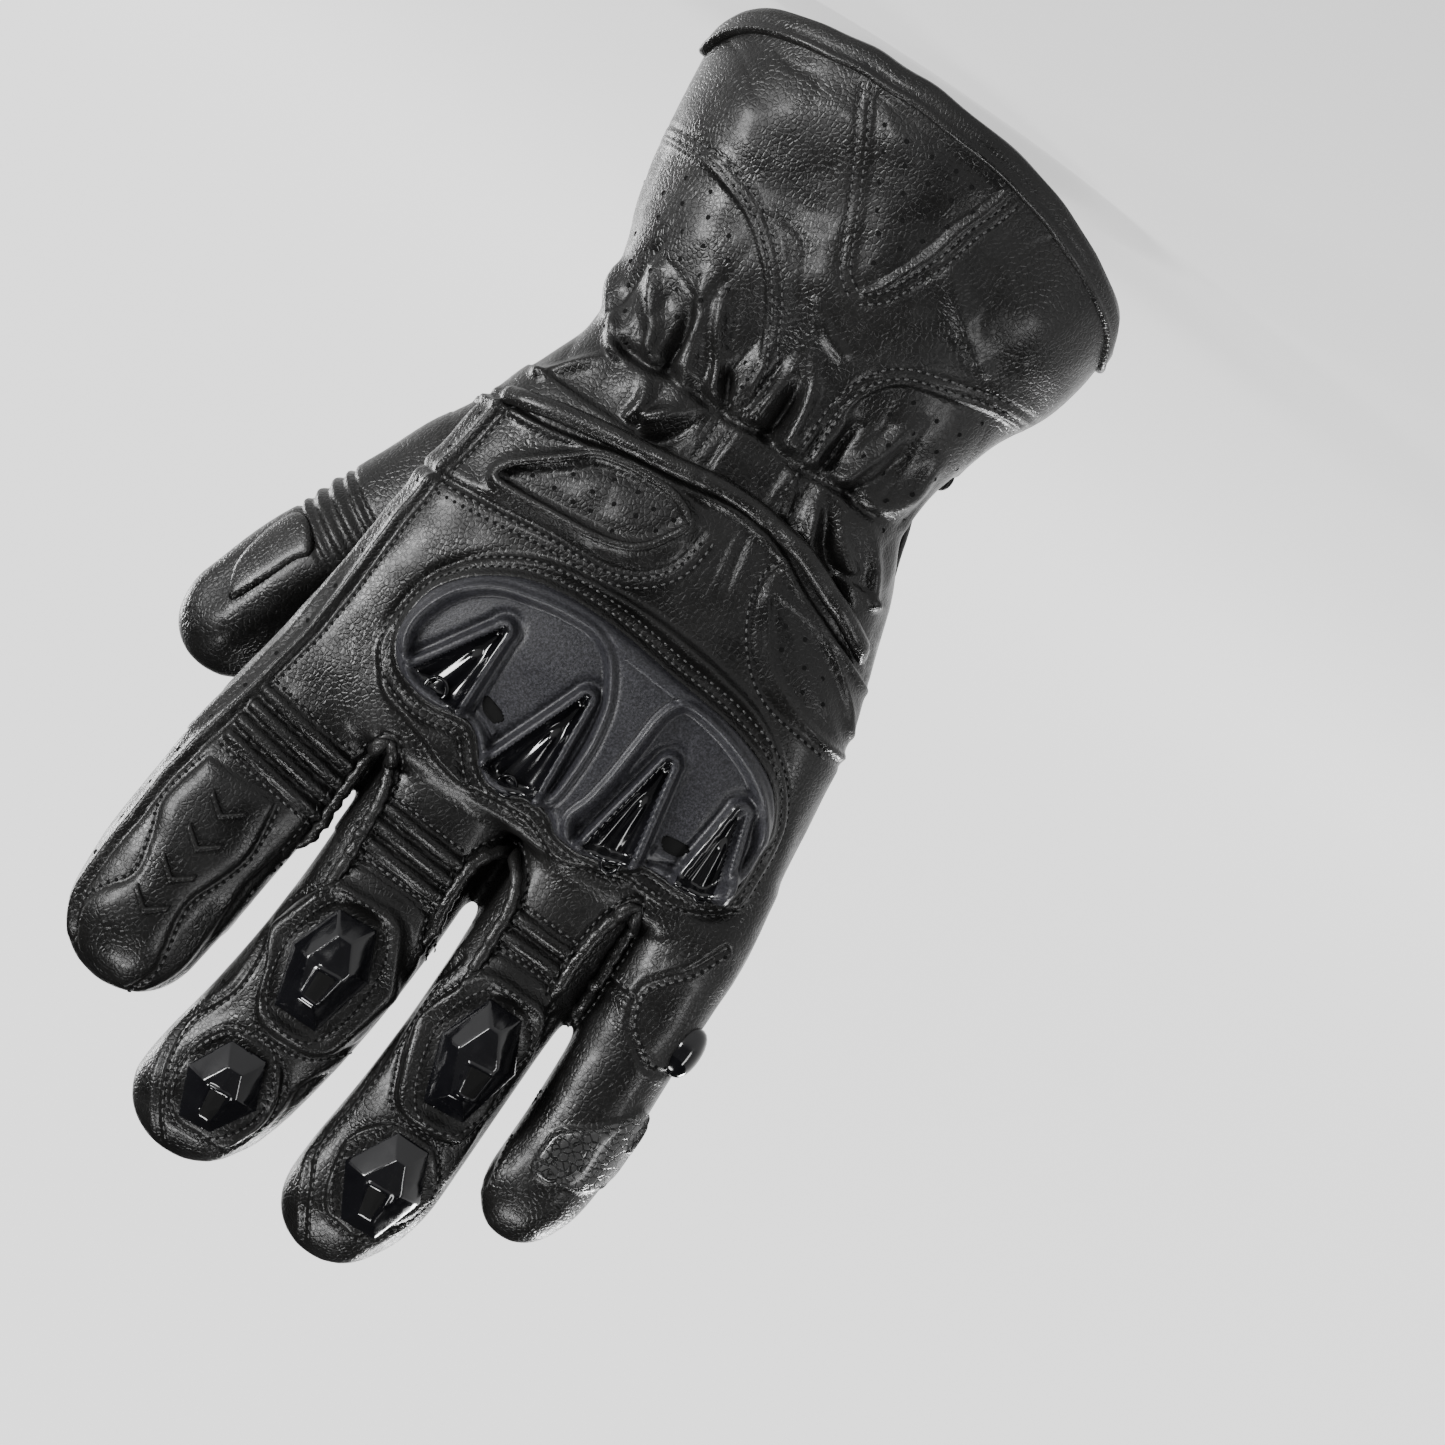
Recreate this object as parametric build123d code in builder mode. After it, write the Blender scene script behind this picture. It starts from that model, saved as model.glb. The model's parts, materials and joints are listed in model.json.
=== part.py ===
"""A left-hand leather riding glove with a short flared cuff, standing fingers up as it is worn.

Frame: +Z runs from the cuff's opening to the fingertips, +X points to the thumb and -Y out of the
back of the hand. The origin is the middle of the cuff's opening. Sizes are in millimetres.

Every panel is a layer between two copies of one form, grown by different distances, cut by an
outline. Layers with different distances never overlap, however the form curves.
"""

import math
import os
from functools import lru_cache

from build123d import *

os.makedirs("parts", exist_ok=True)

# --- Driving dimensions -------------------------------------------------------------------------
LEATHER = 1.2  # one layer of leather
LINING = 0.7  # the knitted lining
PLAY = 0.05  # left between layers that are sewn on each other
TAPE = 0.9  # hook tape, and loop tape
STRAP_PLAY = 0.45  # left between a strap's hook tape and the loop tape below it
STRAP = 2.0  # a strap: two layers of leather
REACH = 70.0  # how far a cutting outline is extruded, past the whole depth of the glove

# The hand and cuff: height, centre x, half width, centre y, half depth, squareness
HAND_ROWS = [
    (-3.0, -2.0, 52.5, 1.0, 34.5, 2.0),
    (14.0, -2.0, 51.0, 1.0, 33.5, 2.0),
    (32.0, -2.5, 49.0, 1.0, 31.0, 2.0),
    (48.0, -0.5, 44.5, 1.0, 27.5, 2.0),
    (62.0, -1.5, 39.5, 1.0, 23.5, 2.1),
    (76.0, -1.0, 37.0, 1.0, 21.5, 2.2),
    (90.0, -1.5, 43.5, 1.0, 21.5, 2.3),
    (106.0, -2.5, 49.5, 1.5, 22.0, 2.4),
    (126.0, -3.2, 52.3, 1.5, 21.5, 2.5),
    (146.0, -3.6, 54.6, 1.0, 19.5, 2.6),
    (160.0, -3.2, 56.8, 0.5, 17.0, 2.7),
    (170.0, -3.0, 57.5, 0.0, 14.5, 2.8),
]
HAND_TOP = 170.0
OVAL_POINTS = 14

RIM_POINTS = ((-58.0, 23.0), (8.0, 0.8), (56.0, 19.0))  # the cuff's edge, an arc seen from the back
BINDING = 5.5  # width of the binding round the edge
BINDING_PROUD = 0.8
PANEL_TOP = 190.0  # above the panels of the hand
BACK_EDGE = 93.0  # where the back's own panels begin, above the gathered wrist
PALM_EDGE = 67.0  # where the palm panel begins, under the wrist strap
WRIST = 76.0  # the narrowest, elasticated place

# Fingers. The joint is the middle of the stretch panel and lean is in degrees towards the thumb.
STRETCH = 6.5  # half the length of a stretch panel
WALL = 4.5  # half the width of the wall between a finger's back and palm panels
CURL = 0.0006  # how fast a finger curves towards the palm
DOME = 13.0  # length of a rounded fingertip
DOME_STEPS = (0.35, 0.62, 0.82, 0.94, 0.985)
ROOT = -18.0  # where a finger's base starts, inside the hand
FINGERS = ("index", "middle", "ring", "little")
DIGITS = FINGERS + ("thumb",)
JOINTS = {
    "index": (40.4, 0.0, 183.5),
    "middle": (6.3, 0.0, 184.5),
    "ring": (-25.6, 0.0, 184.5),
    "little": (-51.2, 0.0, 176.5),
    "thumb": (52.0, 25.5, 139.0),
}
LEANS = {"index": 7.0, "middle": 1.5, "ring": 0.0, "little": -1.0}
BOWS = {"index": -0.0011, "middle": 0.00114, "ring": 0.0007, "little": 0.0, "thumb": 0.0}
LENGTHS = {"index": 59.0, "middle": 79.5, "ring": 80.3, "little": 63.0, "thumb": 44.5}
# Half width and half depth at distances from the joint
DIGIT_ROWS = {
    "index": [(-18, 14.6, 12.4), (6, 16.2, 12.6), (30, 17.0, 12.6), (46, 15.2, 12.0)],
    "middle": [(-18, 14.8, 12.6), (6, 15.6, 12.8), (40, 16.0, 12.8), (66, 14.6, 12.0)],
    "ring": [(-18, 13.9, 12.4), (6, 14.0, 12.6), (50, 14.3, 12.6), (66, 13.2, 12.0)],
    "little": [(-18, 10.6, 11.0), (6, 11.2, 11.4), (36, 12.0, 11.4), (50, 10.9, 11.0)],
    "thumb": [(-38, 9.0, 7.0), (-26, 12.6, 11.0), (-6, 12.8, 12.4), (20, 12.6, 12.2), (32, 12.4, 11.8)],
}
THUMB_LINE = Vector(0.41, 0.179, 0.895).normalized()
THUMB_FOLD = Vector(-0.6, 0.8, 0.0)  # the way the thumb's tip moves as it bends
THUMB_ROOT = -38.0

# Outlines seen from the back, or through the glove onto the palm: x and z
V_INSERT = [(-5, 43.5), (-12, 34), (-17, 22), (-20, 9), (-2, 6), (16, 8), (8, 24), (2, 36)]
THUMB_SIDE_INSERT = [
    (0, 76), (2.5, 68), (6, 60), (12, 50), (22, 42), (35, 38), (60, 37), (60, 60), (50, 86), (20, 86), (3, 84)
]
OUTER_SIDE_INSERT = [(-60, 45), (-44.5, 45.5), (-30, 49.5), (-20, 54.5), (-16.5, 62), (-16, 76), (-22, 88), (-60, 88)]
OVAL_INSERT = [(-3, 99), (2, 108), (12, 111.8), (28, 113.3), (34, 111.5), (24, 101.5), (14, 96.2), (4, 96)]
BACK_SIDE_INSERT = [
    (-60, 119.5), (-48, 119), (-36, 115), (-29, 108), (-25, 101.5), (-34, 101.5), (-45, 106.5), (-60, 118)
]
GUARD = [
    (-51, 155), (-50, 140), (-40, 129.5), (-24, 126), (-8, 124.3), (8, 124), (22, 128.5), (31, 138), (32, 150),
    (25, 156.5), (12, 156), (2, 163.3), (-10, 161.8), (-21, 165), (-34, 160), (-46, 159.5),
]
GUARD_SURROUND = [
    (-55, 157), (-53, 137), (-43, 126), (-28, 119.8), (-8, 117.6), (10, 119.2), (25, 125.5), (34, 137),
    (36, 149), (28, 161.5), (12, 166.3), (0, 167.3), (-10, 166.2), (-18, 168.3), (-36, 164.5), (-47, 163),
]
SCOOPS = [  # each a wedge from its tip to the two corners of its top
    [(-43, 140.5), (-49, 157), (-41.5, 158.5)],
    [(-26.5, 140.5), (-31.5, 161), (-22.5, 162)],
    [(-6, 139), (-8, 160), (3, 161)],
    [(15, 137), (14.5, 154), (25, 151.5)],
]
SIDE_STRIP = [(45, 100), (45, 137), (47, 155), (48, 162), (62, 162), (62, 100)]
GRIP_PATCH = [
    (47, 150), (44, 133), (36, 122), (29, 123), (32, 133), (22, 136), (8, 133.5), (-8, 131), (-18, 130), (-27, 140),
    (-27, 154), (-19, 165), (0, 167), (20, 165), (40, 167),
]
WRIST_BAND = [(-50, 101.5), (-35, 95), (-20, 90), (-10, 89), (5, 91), (20, 93.2), (42, 98)]
WRIST_BAND_HALF = 1.9
FINGERTIP_PANEL = [(33, 192), (33, 208), (37, 220), (36, 233), (51, 234), (50, 220), (53, 206), (51, 193)]
# Pads and hard caps of the middle finger, and of the ring finger
KNUCKLE_PADS = {
    "middle": [(-9, 212), (-3, 228), (8, 231), (16, 224), (21, 210), (14, 193), (-4, 193.5)],
    "ring": [(-34, 194), (-37, 212), (-33, 228.5), (-21, 228.5), (-15, 213), (-19, 194)],
}
KNUCKLE_CAPS = {
    "middle": [(2, 224.5), (11, 224.5), (14.5, 213), (11, 203), (1, 203.5), (-1, 211)],
    "ring": [(-32.5, 223), (-24.5, 223.7), (-20.5, 211), (-24, 200.3), (-31, 201), (-35, 210)],
}
TIP_PADS = {
    "middle": [(5, 255), (15, 256), (20, 245), (16, 234.5), (4, 234.5), (0, 245)],
    "ring": [(-29, 254.5), (-21, 254), (-16, 241), (-22, 232), (-32, 232), (-36.5, 243)],
}
TIP_CAPS = {
    "middle": [(7, 252.5), (14.5, 253.5), (18, 243), (13, 236.5), (6, 237), (3.5, 245)],
    "ring": [(-30, 252.3), (-24, 252.2), (-19, 243), (-24, 233.5), (-31, 234), (-34, 242)],
}
LITTLE_PATCH = [(-66, 219), (-58, 223.5), (-50, 224), (-49, 213), (-58, 207), (-61, 201), (-66, 202)]
THUMB_PATCH = [(67, 164.5), (70.5, 156), (66, 142), (58, 147), (62, 156)]

# Straps, seen from the palm: outlines in x and z. The first and last points of each are its sewn root.
CUFF_STRAP = [(46.6, 15), (20, 11), (6, 9.5), (-2, 14), (-3, 24), (1, 34), (8, 41), (20, 44.5), (42.6, 49)]
WRIST_STRAP = [(-37.9, 71), (0, 70), (20, 71.5), (29, 80), (35, 91), (29, 100), (19, 108), (0, 110), (-50.7, 108)]
CUFF_LOOP = [(40, 19), (2, 17), (3, 27), (12, 38), (38, 42)]
CUFF_HOOK = [(28, 19), (3, 17), (4, 26), (12, 37), (27, 39)]
WRIST_LOOP = [(-28, 76), (20, 76), (28, 90), (18, 102), (-34, 103)]
WRIST_HOOK = [(-14, 77), (19, 77), (27, 90), (18, 101), (-16, 101)]
HEEL_PADS = [
    [(24, 104), (28, 96), (16, 84), (8, 101)],
    [(-3, 100), (-12, 101), (-36, 94), (-37, 84), (-10, 79), (3, 78), (7, 87)],
]

# The pull tab at the wrist strap's root, and the button on the side of the little finger
TAB_PLACE = (-48.0, 9.0, 61.0)
TAB_SIZE = (20.0, 2.0, 7.0)
KNOB_PLACE = (-66.0, -2.0, 186.5)
KNOB_SIZE = (20.0, 6.0, 6.0)
THUMB_PATCH_DEPTH = 25.0  # the thumb's patch lies on the back of the thumb, which stands towards the palm

# Layers, as distances from the outside of the leather
LEATHER_LAYER = (-LEATHER, 0.0)
LINING_LAYER = (-LEATHER - PLAY - LINING, -LEATHER - PLAY)
ELASTIC_LAYER = (LINING_LAYER[0] - PLAY - 0.8, LINING_LAYER[0] - PLAY)
TAPE_LAYER = (PLAY, PLAY + TAPE)
HOOK_LAYER = (TAPE_LAYER[1] + STRAP_PLAY, TAPE_LAYER[1] + STRAP_PLAY + TAPE)
STRAP_LAYER = (HOOK_LAYER[1] + PLAY, HOOK_LAYER[1] + PLAY + STRAP)
HEEL_PAD_LAYER = (STRAP_LAYER[1] + PLAY, STRAP_LAYER[1] + PLAY + 1.6)
FOAM_LAYER = (PLAY, 2.6)
GUARD_LAYER = (FOAM_LAYER[1] + PLAY, 6.2)
SCOOP_LAYER = (GUARD_LAYER[1] + PLAY, 8.4)
SURROUND_LAYER = (PLAY, 2.6)  # the padded leather round the guard
PAD_LAYER = (PLAY, 2.0)  # the padded leather round the finger caps
CAP_LAYER = (PLAY, 3.6)
BAND_LAYER = (PLAY, 2.4)  # the rolled band across the wrist
THIN_LAYER = (PLAY, 0.9)  # a strip or a patch of thin leather
PATCH_LAYER = (PLAY, 1.0)
THICK_PATCH_LAYER = (PLAY, 1.4)
TAB_LAYER = (PLAY, 6.0)
KNOB_LAYER = (PLAY, 2.6)


# --- Forms: the solids that every panel is cut from ---------------------------------------------
def oval(x, y, a, b, n):
    """Points round a superellipse, from its +X end."""
    points = []
    for i in range(OVAL_POINTS):
        t = 2 * math.pi * i / OVAL_POINTS
        c, s = math.cos(t), math.sin(t)
        points.append((x + a * math.copysign(abs(c) ** (2 / n), c), y + b * math.copysign(abs(s) ** (2 / n), s)))
    return points


@lru_cache(maxsize=None)
def hand_form(grow):
    """The hand and the cuff as one solid, grown by a distance."""
    with BuildPart() as form:
        for z, x, a, y, b, n in HAND_ROWS:
            height = z + grow if z == HAND_TOP else z
            with BuildSketch(Plane.XY.offset(height)):
                with BuildLine():
                    Spline(*oval(x, y, a + grow, b + grow, n), periodic=True)
                make_face()
        loft(ruled=True)
    return form.part


def digit_plane(name):
    """The plane across a digit at its joint: its normal runs to the tip and its Y to the palm."""
    if name == "thumb":
        fold = (THUMB_FOLD - THUMB_LINE * THUMB_FOLD.dot(THUMB_LINE)).normalized()
        return Plane(origin=JOINTS[name], x_dir=fold.cross(THUMB_LINE), z_dir=THUMB_LINE)
    s, c = math.sin(math.radians(LEANS[name])), math.cos(math.radians(LEANS[name]))
    return Plane(origin=JOINTS[name], x_dir=(c, 0, -s), z_dir=(s, 0, c))


def half_sizes(name, at):
    """Half width and half depth of a digit at a distance from its joint."""
    rows = DIGIT_ROWS[name]
    for (s0, a0, b0), (s1, a1, b1) in zip(rows, rows[1:]):
        if at <= s1:
            t = (at - s0) / (s1 - s0)
            return a0 + t * (a1 - a0), b0 + t * (b1 - b0)
    return rows[-1][1:]


@lru_cache(maxsize=None)
def digit_form(name, grow, start, stop=None):
    """A digit as one solid, grown by a distance, from start to stop, or to its rounded tip."""
    straight = LENGTHS[name] - DOME
    end = straight if stop is None else stop
    inner = [row[0] for row in DIGIT_ROWS[name] if start + 3 < row[0] < end - 3]
    middle = [(start + end) / 2] if end - start > 30 and len(inner) < 2 else []
    sections = [(s, 1.0) for s in sorted([start, end] + inner + middle)]
    if stop is None:
        sections += [(straight + (DOME + grow) * t, math.sqrt(1 - t * t)) for t in DOME_STEPS]
    with BuildPart() as form:
        for s, share in sections:
            a, b = half_sizes(name, min(s, straight))
            side, bow = BOWS[name] * max(s, 0.0) ** 2, CURL * max(s, 0.0) ** 2
            with BuildSketch(digit_plane(name).offset(s)):
                with Locations((side, bow)):
                    Ellipse((a + grow) * share, (b + grow) * share)
        loft(ruled=True)
    return form.part


@lru_cache(maxsize=None)
def glove_form(grow, overrun=0.0):
    """The hand with the bases of the four fingers, which end where the stretch panels begin."""
    with BuildPart() as form:
        add(hand_form(grow))
        for name in FINGERS:
            if name != "little":
                add(digit_form(name, grow, ROOT, -STRETCH + overrun))
    return form.part


# --- Ways to cut a panel from a form ------------------------------------------------------------
@lru_cache(maxsize=None)
def prism(points, side, depth=0.0, smooth=True):
    """An outline in x and z, extruded from y = depth to the back (side -1) or to the palm (side +1)."""
    with BuildPart() as cutter:
        with BuildSketch(Plane.XZ.offset(-depth)):
            with BuildLine():
                if smooth:
                    Spline(*points, periodic=True)
                else:
                    Polyline(*points, close=True)
            make_face()
        extrude(amount=REACH if side < 0 else -REACH)
    return cutter.part


def outline(points, side=-1, depth=0.0, smooth=True):
    return prism(tuple(points), side, depth, smooth)


@lru_cache(maxsize=None)
def slab(low, high, side=0):
    """All of the glove between two heights, or only its back half (-1) or its palm half (+1)."""
    with BuildPart() as half:
        with Locations((0, side * REACH / 2, (low + high) / 2)):
            Box(4 * REACH, REACH if side else 2 * REACH, high - low)
    return half.part


@lru_cache(maxsize=None)
def above_rim(low, high=400.0):
    """The space between the rim's arc raised by low, and the same arc raised by high."""
    (x0, z0), (x1, z1), (x2, z2) = RIM_POINTS
    with BuildPart() as space:
        with BuildSketch(Plane.XZ.offset(-REACH)):
            with BuildLine():
                lower = ThreePointArc((x0, z0 + low), (x1, z1 + low), (x2, z2 + low))
                upper = ThreePointArc((x0, z0 + high), (x1, z1 + high), (x2, z2 + high))
                Line(lower @ 0, upper @ 0)
                Line(lower @ 1, upper @ 1)
            make_face()
        extrude(amount=2 * REACH)
    return space.part


def cut(outer, inner, keep, *away):
    """The space between two forms, inside keep and outside each of away."""
    with BuildPart() as skin:
        add(outer)
        add(inner, mode=Mode.SUBTRACT)
        add(keep, mode=Mode.INTERSECT)
        for other in away:
            add(other, mode=Mode.SUBTRACT)
    return skin.part


def hand_layer(span, keep, *away):
    return cut(hand_form(span[1]), hand_form(span[0]), keep, *away)


def digit_layer(name, span, keep, *away):
    return cut(digit_form(name, span[1], STRETCH), digit_form(name, span[0], STRETCH), keep, *away)


def digit_side(name, side):
    """The half space past a digit's seam: its back (-1), its palm (+1), or the wall between them (0)."""
    with BuildPart() as half:
        with BuildSketch(digit_plane(name)):
            if side:
                with Locations((0, side * (WALL + REACH / 2))):
                    Rectangle(2 * REACH, REACH)
            else:
                Rectangle(2 * REACH, 2 * WALL)
        extrude(amount=2 * REACH)
    return half.part


def offset_line(points, distance):
    """A band's outline: a line of points, moved up, and the same line moved down."""
    up = [(x, z + distance) for x, z in points]
    down = [(x, z - distance) for x, z in reversed(points)]
    return up + down


def save(part, name):
    part.label = name
    export_step(part, f"parts/{name}.step")


# --- The hand: leather panels -------------------------------------------------------------------
cuff_side_cutters = [outline(THUMB_SIDE_INSERT), outline(OUTER_SIDE_INSERT)]
thumb_bore = digit_form("thumb", -LEATHER, THUMB_ROOT, -STRETCH + 2)
glove_space = glove_form(-LEATHER, 2.0)
grown_thumb = digit_form("thumb", 0.3, THUMB_ROOT, -STRETCH + 1)

with BuildPart() as back_panel:
    add(glove_form(0.0))
    add(glove_space, mode=Mode.SUBTRACT)
    add(slab(BACK_EDGE, PANEL_TOP, -1), mode=Mode.INTERSECT)
    for cutter in (outline(OVAL_INSERT), outline(BACK_SIDE_INSERT), thumb_bore):
        add(cutter, mode=Mode.SUBTRACT)
save(back_panel.part, "back_panel")
with BuildPart() as palm_panel:
    add(cut(glove_form(0.0), glove_space, slab(PALM_EDGE, PANEL_TOP, 1), thumb_bore))
save(palm_panel.part, "palm_panel")
with BuildPart() as thumb_gusset:
    add(digit_form("thumb", 0.0, THUMB_ROOT, -STRETCH))
    add(digit_form("thumb", -LEATHER, THUMB_ROOT - 1, -STRETCH + 1), mode=Mode.SUBTRACT)
    add(hand_form(0.0), mode=Mode.SUBTRACT)
save(thumb_gusset.part, "thumb_gusset")

cuff_shell = cut(hand_form(0.0), hand_form(-LEATHER), above_rim(BINDING))
with BuildPart() as cuff_back:
    add(cuff_shell)
    add(slab(-10, BACK_EDGE, -1), mode=Mode.INTERSECT)

with BuildPart() as cuff_back_panel:
    add(cuff_back.part)
    for cutter in [*cuff_side_cutters, outline(V_INSERT)]:
        add(cutter, mode=Mode.SUBTRACT)
save(cuff_back_panel.part, "cuff_back_panel")

with BuildPart() as cuff_palm_panel:
    add(cuff_shell)
    add(slab(-10, PALM_EDGE, 1), mode=Mode.INTERSECT)
save(cuff_palm_panel.part, "cuff_palm_panel")

with BuildPart() as cuff_v_insert:
    add(cuff_back.part)
    add(outline(V_INSERT), mode=Mode.INTERSECT)
save(cuff_v_insert.part, "cuff_v_insert")

with BuildPart() as cuff_side_inserts:
    for cutter in cuff_side_cutters:
        add(cuff_back.part.intersect(cutter))
save(cuff_side_inserts.part, "cuff_side_inserts")

with BuildPart() as cuff_binding:
    add(cut(hand_form(BINDING_PROUD), hand_form(LINING_LAYER[0] - PLAY), above_rim(0, BINDING)))
save(cuff_binding.part, "cuff_binding")
with BuildPart() as back_oval_insert:
    add(hand_layer(LEATHER_LAYER, outline(OVAL_INSERT)))
save(back_oval_insert.part, "back_oval_insert")
with BuildPart() as back_side_insert:
    add(hand_layer(LEATHER_LAYER, outline(BACK_SIDE_INSERT)))
save(back_side_insert.part, "back_side_insert")
with BuildPart() as wrist_band:
    add(hand_layer(BAND_LAYER, outline(offset_line(WRIST_BAND, WRIST_BAND_HALF), smooth=False)))
save(wrist_band.part, "wrist_band")
with BuildPart() as side_strip:
    add(hand_layer(THIN_LAYER, outline(SIDE_STRIP, smooth=False)))
save(side_strip.part, "side_strip")
with BuildPart() as palm_grip_patch:
    add(hand_layer(PATCH_LAYER, outline(GRIP_PATCH, 1), grown_thumb))
save(palm_grip_patch.part, "palm_grip_patch")

# --- The hand: lining, elastic, tape and tab ----------------------------------------------------
with BuildPart() as hand_lining:
    add(cut(glove_form(LINING_LAYER[1]), glove_form(LINING_LAYER[0], 2.0), above_rim(BINDING), thumb_bore))
save(hand_lining.part, "hand_lining")
with BuildPart() as wrist_elastic:
    add(hand_layer(ELASTIC_LAYER, slab(WRIST - 7, WRIST + 7, -1)))
save(wrist_elastic.part, "wrist_elastic")
with BuildPart() as loop_tapes:
    add(hand_layer(TAPE_LAYER, outline(CUFF_LOOP, 1, smooth=False)))
    add(hand_layer(TAPE_LAYER, outline(WRIST_LOOP, 1, smooth=False)))
save(loop_tapes.part, "loop_tapes")
with BuildPart() as tab_space:
    with Locations(TAB_PLACE):
        Box(*TAB_SIZE)
with BuildPart() as pull_tab:
    add(hand_layer(TAB_LAYER, tab_space.part))
save(pull_tab.part, "pull_tab")

# --- The hand: knuckle guard --------------------------------------------------------------------
with BuildPart() as guard_surround:
    add(hand_layer(SURROUND_LAYER, outline(GUARD_SURROUND), outline(GUARD)))
save(guard_surround.part, "guard_surround")
with BuildPart() as guard_foam:
    add(hand_layer(FOAM_LAYER, outline(GUARD)))
save(guard_foam.part, "guard_foam")
with BuildPart() as knuckle_guard:
    add(hand_layer(GUARD_LAYER, outline(GUARD)))
save(knuckle_guard.part, "knuckle_guard")
with BuildPart() as guard_scoops:
    for wedge in SCOOPS:
        add(hand_layer(SCOOP_LAYER, outline(wedge, smooth=False)))
save(guard_scoops.part, "guard_scoops")

# --- Fingers and thumb --------------------------------------------------------------------------
for name in DIGITS:
    with BuildPart() as stretch_panel:
        add(digit_form(name, 0.0, -STRETCH, STRETCH))
        add(digit_form(name, -LEATHER, -STRETCH - 1, STRETCH + 1), mode=Mode.SUBTRACT)
    save(stretch_panel.part, f"{name}_stretch_panel")
    with BuildPart() as shell:
        add(digit_form(name, 0.0, STRETCH))
        add(digit_form(name, -LEATHER, STRETCH - 1), mode=Mode.SUBTRACT)
    halves = {"back": -1, "palm": 1}
    if name in ("index", "middle", "ring"):
        halves["side_walls"] = 0
    else:
        halves["back"] = None
    for word, side in halves.items():
        with BuildPart() as panel:
            add(shell.part)
            if side is None:
                add(digit_side(name, 1), mode=Mode.SUBTRACT)
            else:
                add(digit_side(name, side), mode=Mode.INTERSECT)
        save(panel.part, f"{name}_{word}")
    with BuildPart() as lining:
        add(digit_form(name, LINING_LAYER[1], STRETCH))
        add(digit_form(name, LINING_LAYER[0], STRETCH - 1), mode=Mode.SUBTRACT)
    save(lining.part, f"{name}_lining")

for name in ("middle", "ring"):
    with BuildPart() as cap_surrounds:
        for pads, caps in ((KNUCKLE_PADS, KNUCKLE_CAPS), (TIP_PADS, TIP_CAPS)):
            add(digit_layer(name, PAD_LAYER, outline(pads[name]), outline(caps[name], smooth=False)))
    save(cap_surrounds.part, f"{name}_cap_surrounds")
    for word, caps in (("knuckle_cap", KNUCKLE_CAPS), ("tip_cap", TIP_CAPS)):
        with BuildPart() as cap:
            add(digit_layer(name, CAP_LAYER, outline(caps[name], smooth=False)))
        save(cap.part, f"{name}_{word}")
with BuildPart() as index_tip_panel:
    add(digit_layer("index", PATCH_LAYER, outline(FINGERTIP_PANEL)))
save(index_tip_panel.part, "index_tip_panel")
with BuildPart() as little_patch:
    add(digit_layer("little", THIN_LAYER, outline(LITTLE_PATCH, smooth=False)))
save(little_patch.part, "little_patch")
with BuildPart() as knob_space:
    with Locations(KNOB_PLACE):
        Box(*KNOB_SIZE)
with BuildPart() as little_side_knob:
    add(digit_layer("little", KNOB_LAYER, knob_space.part))
save(little_side_knob.part, "little_side_knob")
with BuildPart() as thumb_patch:
    add(digit_layer("thumb", THICK_PATCH_LAYER, outline(THUMB_PATCH, -1, THUMB_PATCH_DEPTH)))
save(thumb_patch.part, "thumb_patch")

# --- Straps -------------------------------------------------------------------------------------
with BuildPart() as cuff_strap:
    add(hand_layer(STRAP_LAYER, outline(CUFF_STRAP, 1, smooth=False)))
save(cuff_strap.part, "cuff_strap")
with BuildPart() as cuff_hook_tape:
    add(hand_layer(HOOK_LAYER, outline(CUFF_HOOK, 1, smooth=False)))
save(cuff_hook_tape.part, "cuff_hook_tape")
with BuildPart() as wrist_strap:
    add(hand_layer(STRAP_LAYER, outline(WRIST_STRAP, 1, smooth=False)))
save(wrist_strap.part, "wrist_strap")
with BuildPart() as wrist_hook_tape:
    add(hand_layer(HOOK_LAYER, outline(WRIST_HOOK, 1, smooth=False)))
save(wrist_hook_tape.part, "wrist_hook_tape")
with BuildPart() as heel_pads:
    for pad in HEEL_PADS:
        add(hand_layer(HEEL_PAD_LAYER, outline(pad, 1, smooth=False)))
save(heel_pads.part, "heel_pads")
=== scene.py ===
"""The looks of a left leather riding glove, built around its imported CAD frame.

Lengths are in millimetres until a mesh is made. x runs to the thumb, y out of the palm, z to the
fingertips. A line or an outline is a list of (x, z), drawn on the back (side -1) or the palm (+1).
"""

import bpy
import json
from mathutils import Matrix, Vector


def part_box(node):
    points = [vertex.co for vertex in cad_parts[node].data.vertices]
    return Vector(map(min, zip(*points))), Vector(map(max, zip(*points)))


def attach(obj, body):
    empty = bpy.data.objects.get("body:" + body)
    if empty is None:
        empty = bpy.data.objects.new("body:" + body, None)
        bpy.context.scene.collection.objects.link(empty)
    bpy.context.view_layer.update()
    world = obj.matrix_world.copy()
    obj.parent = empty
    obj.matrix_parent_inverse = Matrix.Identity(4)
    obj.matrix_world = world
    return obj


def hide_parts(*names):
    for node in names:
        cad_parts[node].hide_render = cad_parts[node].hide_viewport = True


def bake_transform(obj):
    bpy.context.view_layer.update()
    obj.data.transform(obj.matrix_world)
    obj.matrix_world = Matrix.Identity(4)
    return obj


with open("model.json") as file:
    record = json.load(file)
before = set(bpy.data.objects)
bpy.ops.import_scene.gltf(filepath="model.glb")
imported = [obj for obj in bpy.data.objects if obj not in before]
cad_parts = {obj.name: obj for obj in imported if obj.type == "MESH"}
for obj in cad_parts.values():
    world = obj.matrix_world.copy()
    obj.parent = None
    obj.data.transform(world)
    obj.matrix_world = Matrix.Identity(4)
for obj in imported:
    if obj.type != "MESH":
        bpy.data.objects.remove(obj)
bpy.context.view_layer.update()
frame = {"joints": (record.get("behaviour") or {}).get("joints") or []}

import copy
import json
import math

import bmesh
import bpy
import numpy as np
from mathutils import Matrix, Vector
from mathutils.bvhtree import BVHTree

MM = 0.001
BACK, PALM = -1, 1

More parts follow.
